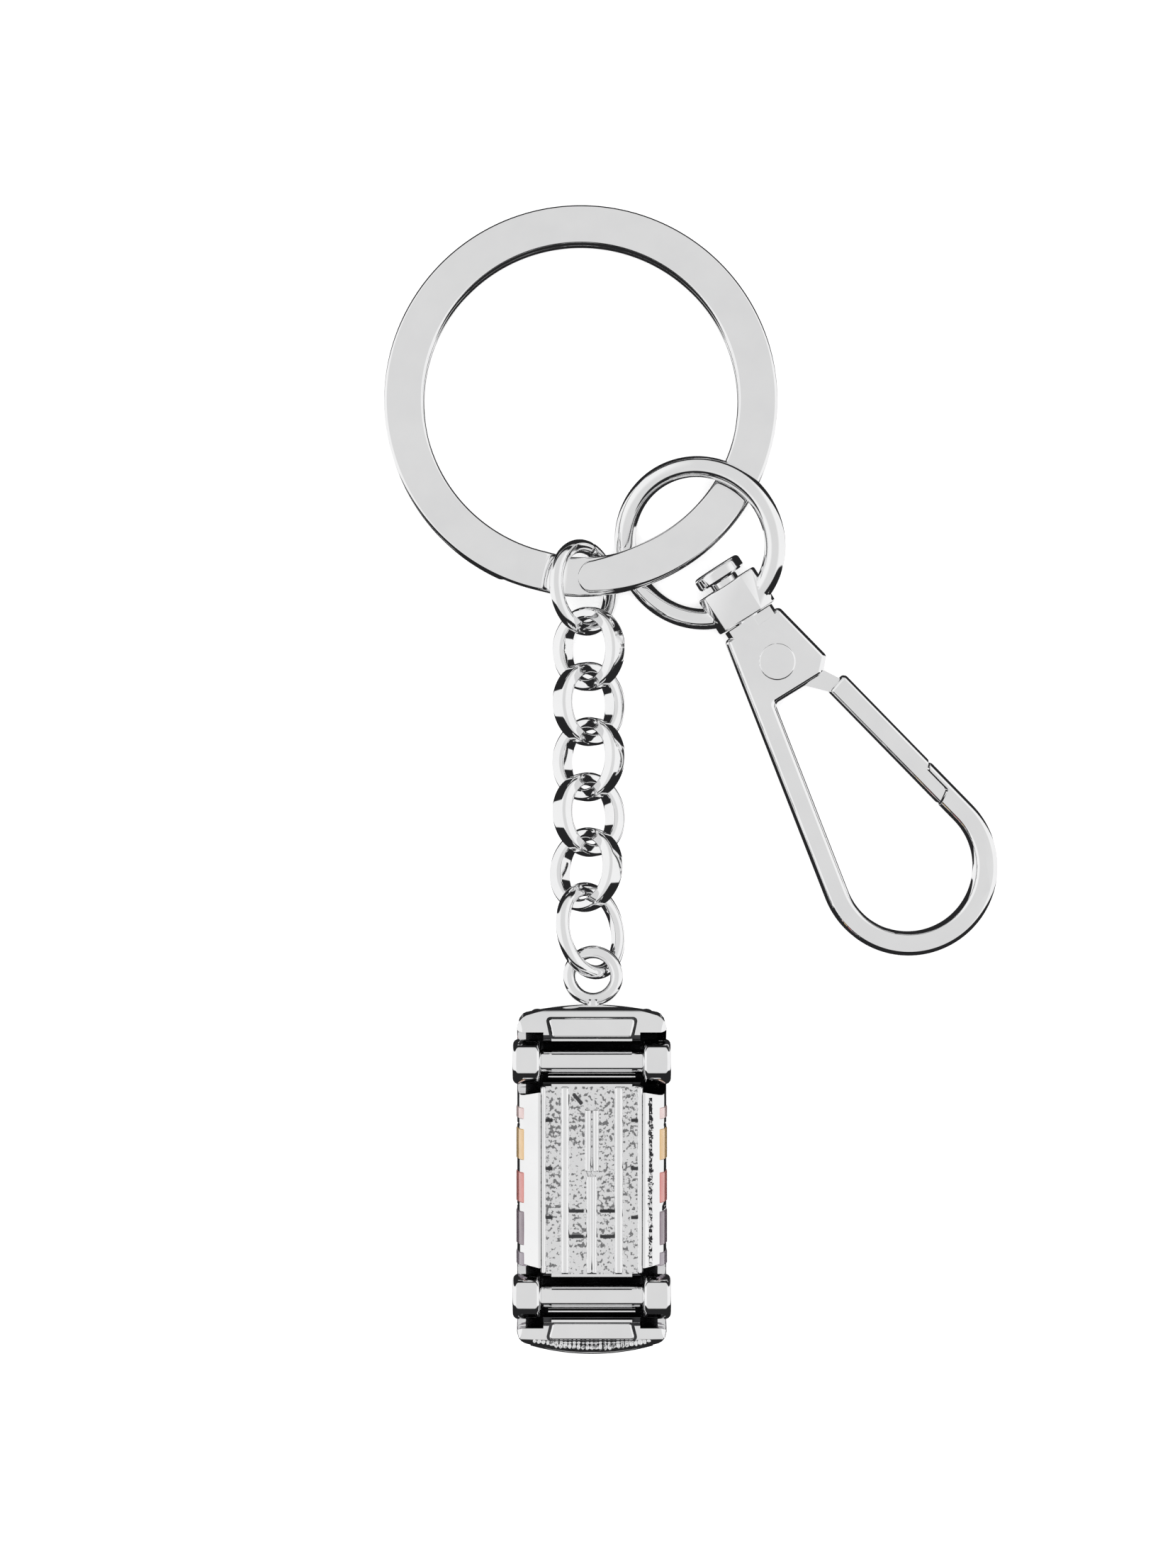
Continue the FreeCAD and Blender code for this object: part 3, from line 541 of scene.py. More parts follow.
def inset_corners(corners, depth):
    """An anticlockwise outline moved inwards, with its corner radii to match.

    The edge that leaves a corner marked "held" stays where it is."""
    count = len(corners)
    moved = []
    for index, (x, y, radius, *mark) in enumerate(corners):
        corner = Vector((x, y))
        arriving = (corner - Vector(corners[index - 1][:2])).normalized()
        leaving = (Vector(corners[(index + 1) % count][:2]) - corner).normalized()
        first = Vector((-arriving.y, arriving.x))
        second = Vector((-leaving.y, leaving.x))
        first_depth = 0 if "held" in corners[index - 1] else depth
        second_depth = 0 if mark else depth
        shared = first.dot(second)
        if shared > 0.999:
            corner += first * (first_depth + second_depth) / 2
        else:
            scale = 1 - shared * shared
            corner += first * ((first_depth - shared * second_depth) / scale)
            corner += second * ((second_depth - shared * first_depth) / scale)
        if radius > 0 and first_depth + second_depth > 0:
            convex = arriving.x * leaving.y - arriving.y * leaving.x > 0
            radius = max(radius - depth, 0.02) if convex else radius + min(depth, 0.1)
        moved.append((corner.x, corner.y, radius, *mark))
    return moved


def eased_plate(name, corners, low, high, matrix, edge, depth, reach=90.0, steps=6):
    """A plate whose rims fall away in an elliptical curve, on both faces."""
    rows = []
    for step in range(steps + 1):
        angle = math.radians(reach * step / steps)
        inset = edge * (1 - math.cos(angle)) / (1 - math.cos(math.radians(reach)))
        rise = depth * math.sin(angle) / math.sin(math.radians(reach))
        rows.append((inset, rise))
    levels = [(inset, low + depth - rise) for inset, rise in reversed(rows)]
    levels += [(inset, high - depth + rise) for inset, rise in rows]
    outlines = []
    for inset, level in levels:
        outline = filleted(inset_corners(corners, inset))
        outlines.append([matrix @ Vector((x, y, level)) for x, y in outline])
    mesh = swept_mesh(name, outlines, False)
    smooth(mesh, 24)
    return mesh


def rounded_edges(piece, width_mm, segments, angle=60.0):
    modifier = piece.modifiers.new("rounded_edges", "BEVEL")
    modifier.width = width_mm * MM
    modifier.segments = segments
    modifier.limit_method = "ANGLE"
    modifier.angle_limit = math.radians(angle)
    modifier.harden_normals = True
    applied(piece)


def applied(piece):
    """Turn a piece's modifiers into its mesh."""
    shown = piece.evaluated_get(bpy.context.evaluated_depsgraph_get())
    mesh = bpy.data.meshes.new_from_object(shown)
    piece.modifiers.clear()
    piece.data = mesh


def boolean(piece, other_mesh, operation):
    """Join another closed mesh to a piece, or cut it away."""
    tool = loose_object("boolean_tool", other_mesh)
    modifier = piece.modifiers.new("boolean", "BOOLEAN")
    modifier.operation = operation
    modifier.solver = "EXACT"
    modifier.object = tool
    applied(piece)
    bpy.data.objects.remove(tool)


def join_stock(piece, stock):
    """Join a loose shape to a piece and use it up."""
    boolean(piece, stock.data, "UNION")
    bpy.data.objects.remove(stock)


def rod_between(name, start, end, radius, steps=48):
    """A plain rod, used as a cutter or as stock to join."""
    axis = (end - start).normalized()
    side = axis.orthogonal().normalized()
    matrix = frame_of(start, side, axis.cross(side))
    length = (end - start).length
    return turned_mesh(name, [(0, 0), (radius, 0), (radius, length), (0, length)], matrix, steps)


def rectangle(low, high, radius=0.0):
    """Corners for filleted()."""
    (left, near), (right, far) = low[:2], high[:2]
    return [(left, near, radius), (right, near, radius), (right, far, radius), (left, far, radius)]


def block_mesh(name, low, high, matrix):
    return plate_mesh(name, filleted(rectangle(low, high)), low[2], high[2], matrix)


# turns a local XY outline so that it stands across local X
STANDING = Matrix(((0, 0, 1, 0), (1, 0, 0, 0), (0, 1, 0, 0), (0, 0, 0, 1)))


# ---------------------------------------------------------------- split ring

RING_OUTER = 15.0
BAND = 3.0
LAYER = 1.0
LAYER_GAP = 0.08
RING_ROUND = 0.3
NOSE_START = 269.0
NOSE_RUN = 26.0
NOSE_WIDTH = 0.74
RAMP_START = 256.5
RAMP_END = 267.0
TAIL_END = 249.0


def make_split_ring():
    """Two flat turns of one wire, with a tapered nose over the ramp that takes it below."""
    axis = joint_axis("eye_round_ring")
    x_dir = Vector((1, 0, 0))
    matrix = frame_of(Vector((0, 0, 0)), x_dir, axis.cross(x_dir))
    middle = RING_OUTER - BAND / 2
    level = (LAYER + LAYER_GAP) / 2
    end_round = math.degrees(BAND / 2 / middle) * 0.62
    first = NOSE_START
    last = TAIL_END + 720
    stations = []
    angle = first
    while angle < last:
        stations.append(angle)
        near_end = min(angle - first, last - angle) < 2 * end_round
        on_ramp = RAMP_START + 360 - 2 < angle < RAMP_END + 360 + 2
        angle += 0.25 if near_end else 0.5 if on_ramp else 1.5
    stations.append(last)
    rows = []
    for angle in stations:
        climb = min(max((angle - 360 - RAMP_START) / (RAMP_END - RAMP_START), 0), 1)
        height = level - 2 * level * climb * climb * (3 - 2 * climb)
        taper = math.sin(min((angle - first) / NOSE_RUN, 1.0) * math.pi / 2)
        tapered = BAND * (NOSE_WIDTH + (1 - NOSE_WIDTH) * taper)
        width = tapered
        from_end = min(angle - first, last - angle)
        if from_end < end_round:
            left = 1 - from_end / end_round
            width *= max(math.sqrt(max(1 - left * left, 0)), 0.06)
        outline = rounded_rectangle(width, LAYER, min(RING_ROUND, width * 0.45), 6)
        rows.append(section_at(math.radians(angle), middle + (BAND - tapered) / 4, outline, height))
    mesh = swept_mesh("split_ring_wire", placed(rows, matrix), False)
    replace_node("split_ring_wire", mesh, "split_ring")


make_split_ring()

# ---------------------------------------------------------------- chain

JUMP_WIRE = 1.05
JUMP_RADIUS = 3.7 - JUMP_WIRE / 2
JUMP_SLIT = 1.6
JUMP_SLIT_AT = 68.0
JUMP_STEPS = 150
LINK_RADIAL = 0.9
LINK_AXIAL = 1.2
LINK_FULLER_RADIAL = 0.17
LINK_FULLER_AXIAL = 0.3
LINK_OUTER = 3.2
LINK_ROUND = 0.32
LINK_STEPS = 144
NEXT_JOINT = {
    "jump_ring_top": "link_1_swing",
    "link_1": "link_2_swing",
    "link_2": "link_3_swing",
    "link_3": "link_4_swing",
    "link_4": "link_5_swing",
    "link_5": "bottom_ring_swing",
    "jump_ring_bottom": "charm_swing",
}


def loop_frame(node):
    """A chain loop's own frame: X across it, Y up the chain."""
    centre = node_centre(node)
    upward = (centre - joint_place(NEXT_JOINT[node])).normalized()
    across = joint_axis(NEXT_JOINT[node])
    across = across if across.x > 0 else -across
    return frame_of(centre, across, upward)


def make_jump_ring(node):
    """Round wire whose cut ends meet, with a hair's gap and slightly burred ends."""
    rows = []
    for step in range(JUMP_STEPS + 1):
        angle = math.radians(JUMP_SLIT_AT + JUMP_SLIT / 2 + (360 - JUMP_SLIT) * step / JUMP_STEPS)
        radius = JUMP_WIRE / 2 * (0.93 if step in (0, JUMP_STEPS) else 1.0)
        rows.append(section_at(angle, JUMP_RADIUS, circle_outline(radius, 32)))
    mesh = swept_mesh(node + "_wire", placed(rows, loop_frame(node)), False)
    replace_node(node + "_wire", mesh, node)


def make_link(node):
    """A thick cast link of soft rectangular section, fuller at its sides."""
    rows = []
    for step in range(LINK_STEPS):
        angle = 2 * math.pi * step / LINK_STEPS
        sideness = math.cos(angle) ** 2
        radial = LINK_RADIAL + LINK_FULLER_RADIAL * sideness
        outline = rounded_rectangle(radial, LINK_AXIAL + LINK_FULLER_AXIAL * sideness, LINK_ROUND, 6)
        rows.append(section_at(angle, LINK_OUTER - radial / 2, outline))
    mesh = swept_mesh(node + "_cast", placed(rows, loop_frame(node)), True)
    replace_node(node + "_cast", mesh, node)


for loop_node in NEXT_JOINT:
    if loop_node.startswith("jump"):
        make_jump_ring(loop_node)
    else:
        make_link(loop_node)

# ---------------------------------------------------------------- swivel eye and post

EYE_TILT = 21.0
EYE_RADIUS = 5.9
EYE_WIRE = 1.6
HUB_START = 3.7
HUB_END = 6.75
HUB_HALF_WIDTH = 2.5
HUB_HALF_HEIGHT = 1.25
HUB_BEVEL = 0.85
CLEARANCE = 0.05
POST_RADIUS = 1.1
POST_HEAD = 1.95
POST_ROUND = 0.3
POST_HEAD_START = 2.2
POST_END = 8.5

swivel = joint_axis("hook_swivel")
hook_up = -joint_axis("gate_open")
hook_side = hook_up.cross(swivel).normalized()
EYE_CENTRE = joint_place("hook_swivel")
HOOK_FRAME = frame_of(EYE_CENTRE, swivel, hook_side)
EYE_FRAME = HOOK_FRAME @ Matrix.Rotation(math.radians(EYE_TILT), 4, "X")
SWIVEL_FRAME = HOOK_FRAME @ Matrix.Rotation(math.radians(90), 4, "Y")


def make_eye():
    """Round wire, with a faceted hub that is bored for the post."""
    rows = ring_rows(EYE_RADIUS, circle_outline(EYE_WIRE / 2, 32), 160)
    mesh = swept_mesh("swivel_eye_cast", placed(rows, EYE_FRAME), True)
    piece = new_piece("swivel_eye_cast", mesh, "swivel_eye")
    quarter = [(HUB_HALF_WIDTH, HUB_HALF_HEIGHT - HUB_BEVEL), (HUB_HALF_WIDTH - HUB_BEVEL, HUB_HALF_HEIGHT)]
    mirrored = [(-x, y) for x, y in reversed(quarter)]
    facets = [(x, y, 0.15) for x, y in quarter + mirrored]
    facets += [(-x, -y, radius) for x, y, radius in facets]
    mesh = plate_mesh("hub_stock", filleted(facets, 4), HUB_START, HUB_END, EYE_FRAME @ STANDING)
    hub = loose_object("hub_stock", mesh)
    rounded_edges(hub, 0.16, 3)
    join_stock(piece, hub)
    start = EYE_FRAME @ Vector((HUB_START - 1, 0, 0))
    end = EYE_FRAME @ Vector((HUB_END + 1, 0, 0))
    boolean(piece, rod_between("post_bore", start, end, POST_RADIUS + CLEARANCE), "DIFFERENCE")
    smooth(piece.data, 32)
    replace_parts(piece, "swivel_eye")


def make_post():
    """A headed post: domed inside the eye, plain where it passes the hub."""
    head_end = POST_HEAD_START + 1.0
    profile = [(0, POST_HEAD_START), (POST_HEAD * 0.55, POST_HEAD_START)]
    centre = (POST_HEAD - POST_ROUND, POST_HEAD_START + POST_ROUND)
    profile += arc(centre, (POST_ROUND, POST_ROUND), -90, 0, 6)
    profile += [(POST_HEAD, head_end - 0.15), (POST_HEAD - 0.12, head_end), (POST_RADIUS + 0.1, head_end),
                (POST_RADIUS, head_end + 0.1), (POST_RADIUS, POST_END), (0, POST_END)]
    name = "swivel_post_turned"
    replace_node(name, turned_mesh(name, profile, SWIVEL_FRAME), "swivel_post")


make_eye()
make_post()

# ---------------------------------------------------------------- hook body, gate and rivet

HOOK_THICKNESS = 2.2
TAPER = math.radians(11.5)
LOOP_CENTRE = 29.5
LOOP_OUTER = 6.8
HOOK_BAR = 1.8
LOOP_INNER = LOOP_OUTER - HOOK_BAR
HEAD_START = 7.35
HEAD_END = 13.4
COLLAR_START = 6.87
COLLAR_RADIUS = 2.1
SLOT_WIDTH = 1.0
SLOT_START = 8.95
SLOT_SIDE = -1.8
RIVET_AT = 10.75
RIVET_RADIUS = 0.55
RIVET_HEAD = 1.42
RIVET_ROUND = 0.18
LUG_RADIUS = 1.45
LUG_HALF = 0.42
GATE_THICKNESS = 2.0
GATE_SHOULDER = 14.35
LATCH_GAP = 0.14
LATCH_REACH = 1.75
LATCH_LENGTH = 2.5
LATCH_STEP = 0.45
LATCH_TONGUE = 0.52
LATCH_END = -LATCH_REACH
LATCH_START = LATCH_END - LATCH_LENGTH - LATCH_STEP


def side_point(side, radius, run):
    """A point on the hook's tapered side, a run along it from its tangent point on the loop."""
    return (LOOP_CENTRE - math.sin(TAPER) * radius + math.cos(TAPER) * run,
            side * (math.cos(TAPER) * radius + math.sin(TAPER) * run))


def side_at(side, radius, along):
    """The point of a tapered side at one distance from the eye's centre."""
    run = (along - side_point(side, radius, 0)[0]) / math.cos(TAPER)
    return side_point(side, radius, run)


def loop_arc(radius, steps):
    """The round end, between the spine's tangent point and the gate's."""
    half_turn = 90 + math.degrees(TAPER)
    points = arc((LOOP_CENTRE, 0), (radius, radius), -half_turn, half_turn, steps)
    return [(x, y, 0) for x, y in points[1:-1]]


def hook_outline():
    """Once round the hook body: head, spine, loop, nose, and back inside to the head."""
    middle = LOOP_OUTER - LATCH_TONGUE
    return [
        (*side_at(-1, LOOP_OUTER, HEAD_START), 0.35),
        (*side_point(-1, LOOP_OUTER, 0), 0),
        *loop_arc(LOOP_OUTER, 72),
        (*side_point(1, LOOP_OUTER, 0), 0),
        (*side_point(1, LOOP_OUTER, LATCH_START), 0.12, "held"),
        (*side_point(1, middle, LATCH_START + LATCH_STEP), 0.1, "held"),
        (*side_point(1, middle, LATCH_END - LATCH_STEP), 0.2, "held"),
        (*side_point(1, LOOP_INNER, LATCH_END), 0.12),
        (*side_point(1, LOOP_INNER, 0), 0),
        *reversed(loop_arc(LOOP_INNER, 64)),
        (*side_point(-1, LOOP_INNER, 0), 0),
        (*side_at(-1, LOOP_INNER, HEAD_END), 0.35),
        (HEAD_END + 0.1, side_at(1, LOOP_OUTER, HEAD_END)[1] - 1.25, 0.45),
        (*side_at(1, LOOP_OUTER, HEAD_END - 0.95), 0.45),
        (*side_at(1, LOOP_OUTER, HEAD_START), 0.35),
    ]


def make_hook():
    """The cast hook: an outline with eased rims, a collar under the head, and a slot for the gate."""
    half = HOOK_THICKNESS / 2
    mesh = eased_plate("hook_body_cast", hook_outline(), -half, half, HOOK_FRAME, 0.42, 0.62, 72)
    piece = new_piece("hook_body_cast", mesh, "hook_body")
    start = HOOK_FRAME @ Vector((COLLAR_START, 0, 0))
    end = HOOK_FRAME @ Vector((HEAD_START + 0.6, 0, 0))
    collar = loose_object("collar_stock", rod_between("collar", start, end, COLLAR_RADIUS, 64))
    thin = half - 0.06
    limit = block_mesh("collar_limit", (COLLAR_START - 1, -4, -thin), (HEAD_START + 2, 4, thin), HOOK_FRAME)
    boolean(collar, limit, "INTERSECT")
    join_stock(piece, collar)
    slot_half = SLOT_WIDTH / 2
    slot_end = (HEAD_END + 0.35, 7, slot_half)
    slot = block_mesh("slot", (SLOT_START, SLOT_SIDE, -slot_half), slot_end, HOOK_FRAME)
    boolean(piece, slot, "DIFFERENCE")
    smooth(piece.data, 32)
    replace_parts(piece, "hook_body")


def rivet_rod(name, half, radius, steps):
    """A rod about the rivet's axis, as far to one side of the hook's middle as to the other."""
    start = HOOK_FRAME @ Vector((RIVET_AT, 0, -half))
    end = HOOK_FRAME @ Vector((RIVET_AT, 0, half))
    return rod_between(name, start, end, radius, steps)


def make_gate():
    """A bevelled bar with its latch tongue, on a thin lug that turns in the fork."""
    middle = LOOP_OUTER - LATCH_TONGUE - LATCH_GAP
    half = GATE_THICKNESS / 2
    corners = [
        (*side_at(1, LOOP_OUTER, GATE_SHOULDER), 0.3),
        (*side_at(1, LOOP_INNER, GATE_SHOULDER + 0.45), 0.3),
        (*side_point(1, LOOP_INNER, LATCH_END - LATCH_GAP), 0.12, "held"),
        (*side_point(1, middle, LATCH_END - LATCH_STEP - LATCH_GAP), 0.18, "held"),
        (*side_point(1, middle, LATCH_START + LATCH_STEP - LATCH_GAP), 0.2, "held"),
        (*side_point(1, LOOP_OUTER, LATCH_START - LATCH_GAP), 0.16),
    ]
    mesh = eased_plate("gate_bar", corners, -half, half, HOOK_FRAME, 0.36, 0.5, 72)
    piece = new_piece("gate_bar", mesh, "gate")
    arm = [
        (RIVET_AT + 0.3, LUG_RADIUS - 0.1, 0.0),
        (*side_at(1, LOOP_OUTER - 0.35, GATE_SHOULDER + 0.5), 0.1),
        (*side_at(1, LOOP_INNER + 0.35, GATE_SHOULDER + 1.0), 0.1),
        (RIVET_AT + LUG_RADIUS - 0.25, -0.55, 0.0),
    ]
    lug = loose_object("lug_stock", rivet_rod("gate_lug", LUG_HALF, LUG_RADIUS, 64))
    boolean(lug, plate_mesh("gate_arm", filleted(arm, 4), -LUG_HALF, LUG_HALF, HOOK_FRAME), "UNION")
    join_stock(piece, lug)
    boolean(piece, rivet_rod("gate_bore", 2, RIVET_RADIUS + CLEARANCE, 48), "DIFFERENCE")
    smooth(piece.data, 32)
    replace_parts(piece, "gate")


def make_rivet():
    """A low round head on each face of the fork, set in a fine shadow line."""
    top = HOOK_THICKNESS / 2 + 0.3
    profile = [(0, -top), (RIVET_HEAD * 0.7, -top)]
    profile += arc((RIVET_HEAD - RIVET_ROUND, RIVET_ROUND - top), (RIVET_ROUND, RIVET_ROUND), -90, 0, 5)
    profile += [(RIVET_HEAD - 0.03, 0.29 - top), (RIVET_RADIUS, 0.3 - top)]
    profile += [(radius, -height) for radius, height in reversed(profile)]
    matrix = HOOK_FRAME @ Matrix.Translation(Vector((RIVET_AT, 0, 0)))
    replace_node("gate_rivet_turned", turned_mesh("gate_rivet_turned", profile, matrix), "gate_rivet")


make_hook()
make_gate()
make_rivet()

# ---------------------------------------------------------------- car charm

CAR_PLACE = Matrix.Translation(Vector((0.83, -58.75, -2.14)))
HALF_LENGTH = 12.95
HALF_WIDTH = 5.6
CAR_TOP = 10.1
AXLES = {"rear": 8.73, "front": -8.8}
AXLE_HEIGHT = 9.0
AXLE_RADIUS = 0.92
JOURNAL_RADIUS = 0.6
WHEEL_RADIUS = 1.68
WHEEL_WIDTH = 2.1
WHEEL_OUTER = 5.9
SHOULDER = 0.43
ARCH_RADIUS = 2.5
ARCH_INNER = 3.6
SLOT_END = 3.65
LIP_END = 3.25
SLOT_HALF = 1.6
PLATE_HALF_WIDTH = 3.8
PLATE_FRONT = -7.0
PLATE_REAR = 6.95
END_CORNER = 12.15
BOW_RADIUS = 17.0
BOW_CENTRE = HALF_LENGTH - BOW_RADIUS

# from nose to tail (along, up from the roof)
ROOF_LINE = [
    (-12.95, 7.0), (-11.9, 5.5), (-6.2, 4.2), (-1.6, 0.25), (-0.6, 0.0), (9.2, 0.0), (10.4, 0.45),
    (12.2, 4.6), (12.6, 6.8), (12.95, 8.8),
]
# from the roof up to the underside (up, across)
FLANK_LINE = [
    (0.0, 3.6), (0.5, 4.25), (4.4, 5.25), (6.3, 5.6), (7.4, 5.6), (8.7, 5.38), (9.3, 5.1), (9.7, 4.75),
    (9.95, 4.3), (10.1, 3.85),
]
# the same beyond the wheels, where the sills stay square
END_FLANK_LINE = [
    (0.0, 3.6), (0.5, 4.25), (4.4, 5.25), (6.3, 5.6), (9.5, 5.6), (9.85, 5.5), (10.0, 5.35), (10.1, 5.1),
]
END_START = 9.5
LEVELS = (0.0, 0.045, 0.1, 0.2, 0.32, 0.44, 0.54, 0.62, 0.7, 0.78, 0.84, 0.885, 0.92, 0.95, 0.975, 1.0)


def between(table, at):
    """A value read along a table of (position, value) pairs."""
    for (start, first), (end, last) in zip(table, table[1:]):
        if at <= end:
            part = max((at - start) / (end - start), 0)
            return first + (last - first) * part
    return table[-1][1]


def eased(table, at, reach=0.35):
    """The same, with its kinks rounded off."""
    return sum(between(table, at + reach * step / 2) for step in range(-2, 3)) / 5


def plan_half_width(along):
    """Half the width at a distance from the middle: straight, then cut corners, then a bowed end."""
    away = abs(along)
    if away <= END_CORNER:
        return between([(0, HALF_WIDTH), (11.3, HALF_WIDTH), (11.8, 5.45), (END_CORNER, 5.15)], away)
    return math.sqrt(max(BOW_RADIUS ** 2 - (away - BOW_CENTRE) ** 2, 0.12))


def car_section(along):
    """One cross section of the charm, with rounded roof and sill edges."""
    low = eased(ROOF_LINE, along)
    high = CAR_TOP - 0.35 * max(abs(along) - 11.2, 0) ** 1.5
    limit = plan_half_width(along)
    flank = END_FLANK_LINE if abs(along) > END_START else FLANK_LINE
    side = []
    for level in LEVELS:
        up = low + (high - low) * level
        side.append((min(eased(flank, up, 0.12), limit), up))
    roof_round = min(0.4, (side[1][1] - side[0][1]) * 0.9, limit * 0.5)
    sill_round = min(0.65, (side[-1][1] - side[-2][1]) * 0.9, limit * 0.5)
    rounds = [roof_round] + [0] * (len(side) - 2) + [sill_round]
    corners = [(x, z, r) for (x, z), r in zip(side, rounds)]
    corners += [(-x, z, r) for x, z, r in reversed(corners)]
    return [CAR_PLACE @ Vector((point[0], along, point[1])) for point in filleted(corners, 5)]


def joined_mesh(name, meshes):
    work = bmesh.new()
    for mesh in meshes:
        work.from_mesh(mesh)
    joined = bpy.data.meshes.new(name)
    work.to_mesh(joined)
    work.free()
    return joined


def car_rod(start, end, radius, steps=96):
    return rod_between("car_rod", CAR_PLACE @ Vector(start), CAR_PLACE @ Vector(end), radius, steps)


def car_block(low, high):
    return block_mesh("car_block", low, high, CAR_PLACE)


def car_frame(place, degrees, axis):
    return CAR_PLACE @ Matrix.Translation(place) @ Matrix.Rotation(math.radians(degrees), 4, axis)


def axle_trough(along):
    """The space around an axle: round below it and straight above."""
    outline = [(along + SLOT_HALF, CAR_TOP + 1)]
    outline += arc((along, AXLE_HEIGHT), (SLOT_HALF, SLOT_HALF), 0, -180, 32)
    outline.append((along - SLOT_HALF, CAR_TOP + 1))
    return plate_mesh("axle_trough", outline, -SLOT_END, SLOT_END, CAR_PLACE @ STANDING)


ENAMEL_LOW = 4.9
ENAMEL_HIGH = 9.3
LINER = 0.04
SILL_SLOPE = math.radians(28)
SEAM_AT = 4.38
SEAM_START = -6.4
SEAM_END = 6.1
PADS = {"rear": (10.55, 12.05), "front": (-10.65, -11.95)}
GROOVE = 0.16
GROOVE_DEPTH = 0.35
NOTCH_HALF = 2.05
NOTCH_FLOOR = 8.3
ARCH_WALL_END = 4.95
DOOR_SEAMS = (-2.12, 3.98)
DOOR_SEAM_HALF = 0.09
BEYOND_FLANK = 7.0
FLOOR_DROP = 0.34
# across from the middle, start, end and half width of each pair of ribs
RIBS = (
    (2.0, PLATE_FRONT, PLATE_REAR, 0.36),
    (3.58, PLATE_FRONT, PLATE_REAR, 0.21),
    (0.3, 0.55, 5.3, 0.27),
    (0.2, PLATE_FRONT, 0.35, 0.24),
)
BEAD_PITCH = 0.338
BUMPER_HALF = 4.6
CHARM_EYE_PLACE = Matrix.Translation(Vector((0.93, -43.70, 4.95)))
CHARM_EYE_OUTER = 2.25
CHARM_EYE_WIRE = 0.95
SHANK_START = 1.75
SHANK_FLARE = 0.12
SHANK_FLARE_RUN = 0.8
SHANK_LENGTH = 3.4


def pad_outline(row, grow, rounding):
    """The raised trapezoid at one end of the underside, or the recess around it."""
    near, far = PADS[row]
    outward = math.copysign(grow, far)
    corners = [
        (-2.95 - grow, near - outward * 0.4, rounding), (2.95 + grow, near - outward * 0.4, rounding),
        (3.3 + grow, far + outward * 0.4, rounding), (-3.3 - grow, far + outward * 0.4, rounding),
    ]
    return corners if far > near else corners[::-1]


def make_car_body():
    stations = [-12.93, -12.87, -12.8, -12.7, -12.55, -12.4, -12.2, -12.05, -11.95, -11.8, -11.6]
    stations += [-11.4, -11.2]
    ends = [-along for along in reversed(stations)]
    middle = [-11.2 + 22.4 * step / 64 for step in range(1, 64)]
    rows = [car_section(along) for along in stations + middle + ends]
    piece = new_piece("car_body_cast", swept_mesh("car_body_cast", rows, False), "car_body")
    top = CAR_TOP + 1
    opening = [car_block((-PLATE_HALF_WIDTH, PLATE_FRONT, 9.2), (PLATE_HALF_WIDTH, PLATE_REAR, top))]
    notches = []
    for along in AXLES.values():
        opening.append(axle_trough(along))
        for side in (-1, 1):
            start = (side * ARCH_INNER, along, AXLE_HEIGHT)
            opening.append(car_rod(start, (side * BEYOND_FLANK, along, AXLE_HEIGHT), ARCH_RADIUS))
            low_x, high_x = sorted((side * (LIP_END - 0.25), side * (ARCH_INNER + 0.3)))
            low = (low_x, along - NOTCH_HALF, NOTCH_FLOOR)
            notches.append(car_block(low, (high_x, along + NOTCH_HALF, top)))
    shallow = []
    for row in PADS:
        outline = filleted(pad_outline(row, GROOVE, 0.3))
        shallow.append(plate_mesh("recess", outline, CAR_TOP - GROOVE_DEPTH, top, CAR_PLACE))
    # the rough seam along one sill, and two door seams in each flank
    shallow.append(car_block((SEAM_AT - 0.13, SEAM_START, CAR_TOP - 0.6), (SEAM_AT + 0.13, SEAM_END, top)))
    for side in (-1, 1):
        low_x, high_x = sorted((side * 4.9, side * BEYOND_FLANK))
        for seam in DOOR_SEAMS:
            low = (low_x, seam - DOOR_SEAM_HALF, 1.2)
            shallow.append(car_block(low, (high_x, seam + DOOR_SEAM_HALF, 8.6)))
    for cutter in opening + notches + shallow:
        boolean(piece, cutter, "DIFFERENCE")
    smooth(piece.data, 28)
    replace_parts(piece, "car_body")
    for row in PADS:
        outline = pad_outline(row, 0, 0.3)
        pad = eased_plate("pad", outline, CAR_TOP - 1.2, CAR_TOP + 0.02, CAR_PLACE, 0.25, 0.3)
        new_piece(f"valance_pad_{row}", pad, "car_body")


def liner_rows(along, radius, start_x, end_x):
    """The lower half of a round hollow's wall, as a thin shell."""
    centre = (along, AXLE_HEIGHT)
    inside = radius - LINER
    wall = arc(centre, (radius, radius), 0, -180, 32) + arc(centre, (inside, inside), -180, 0, 32)
    return [[CAR_PLACE @ Vector((x, y, z)) for y, z in wall] for x in (start_x, end_x)]


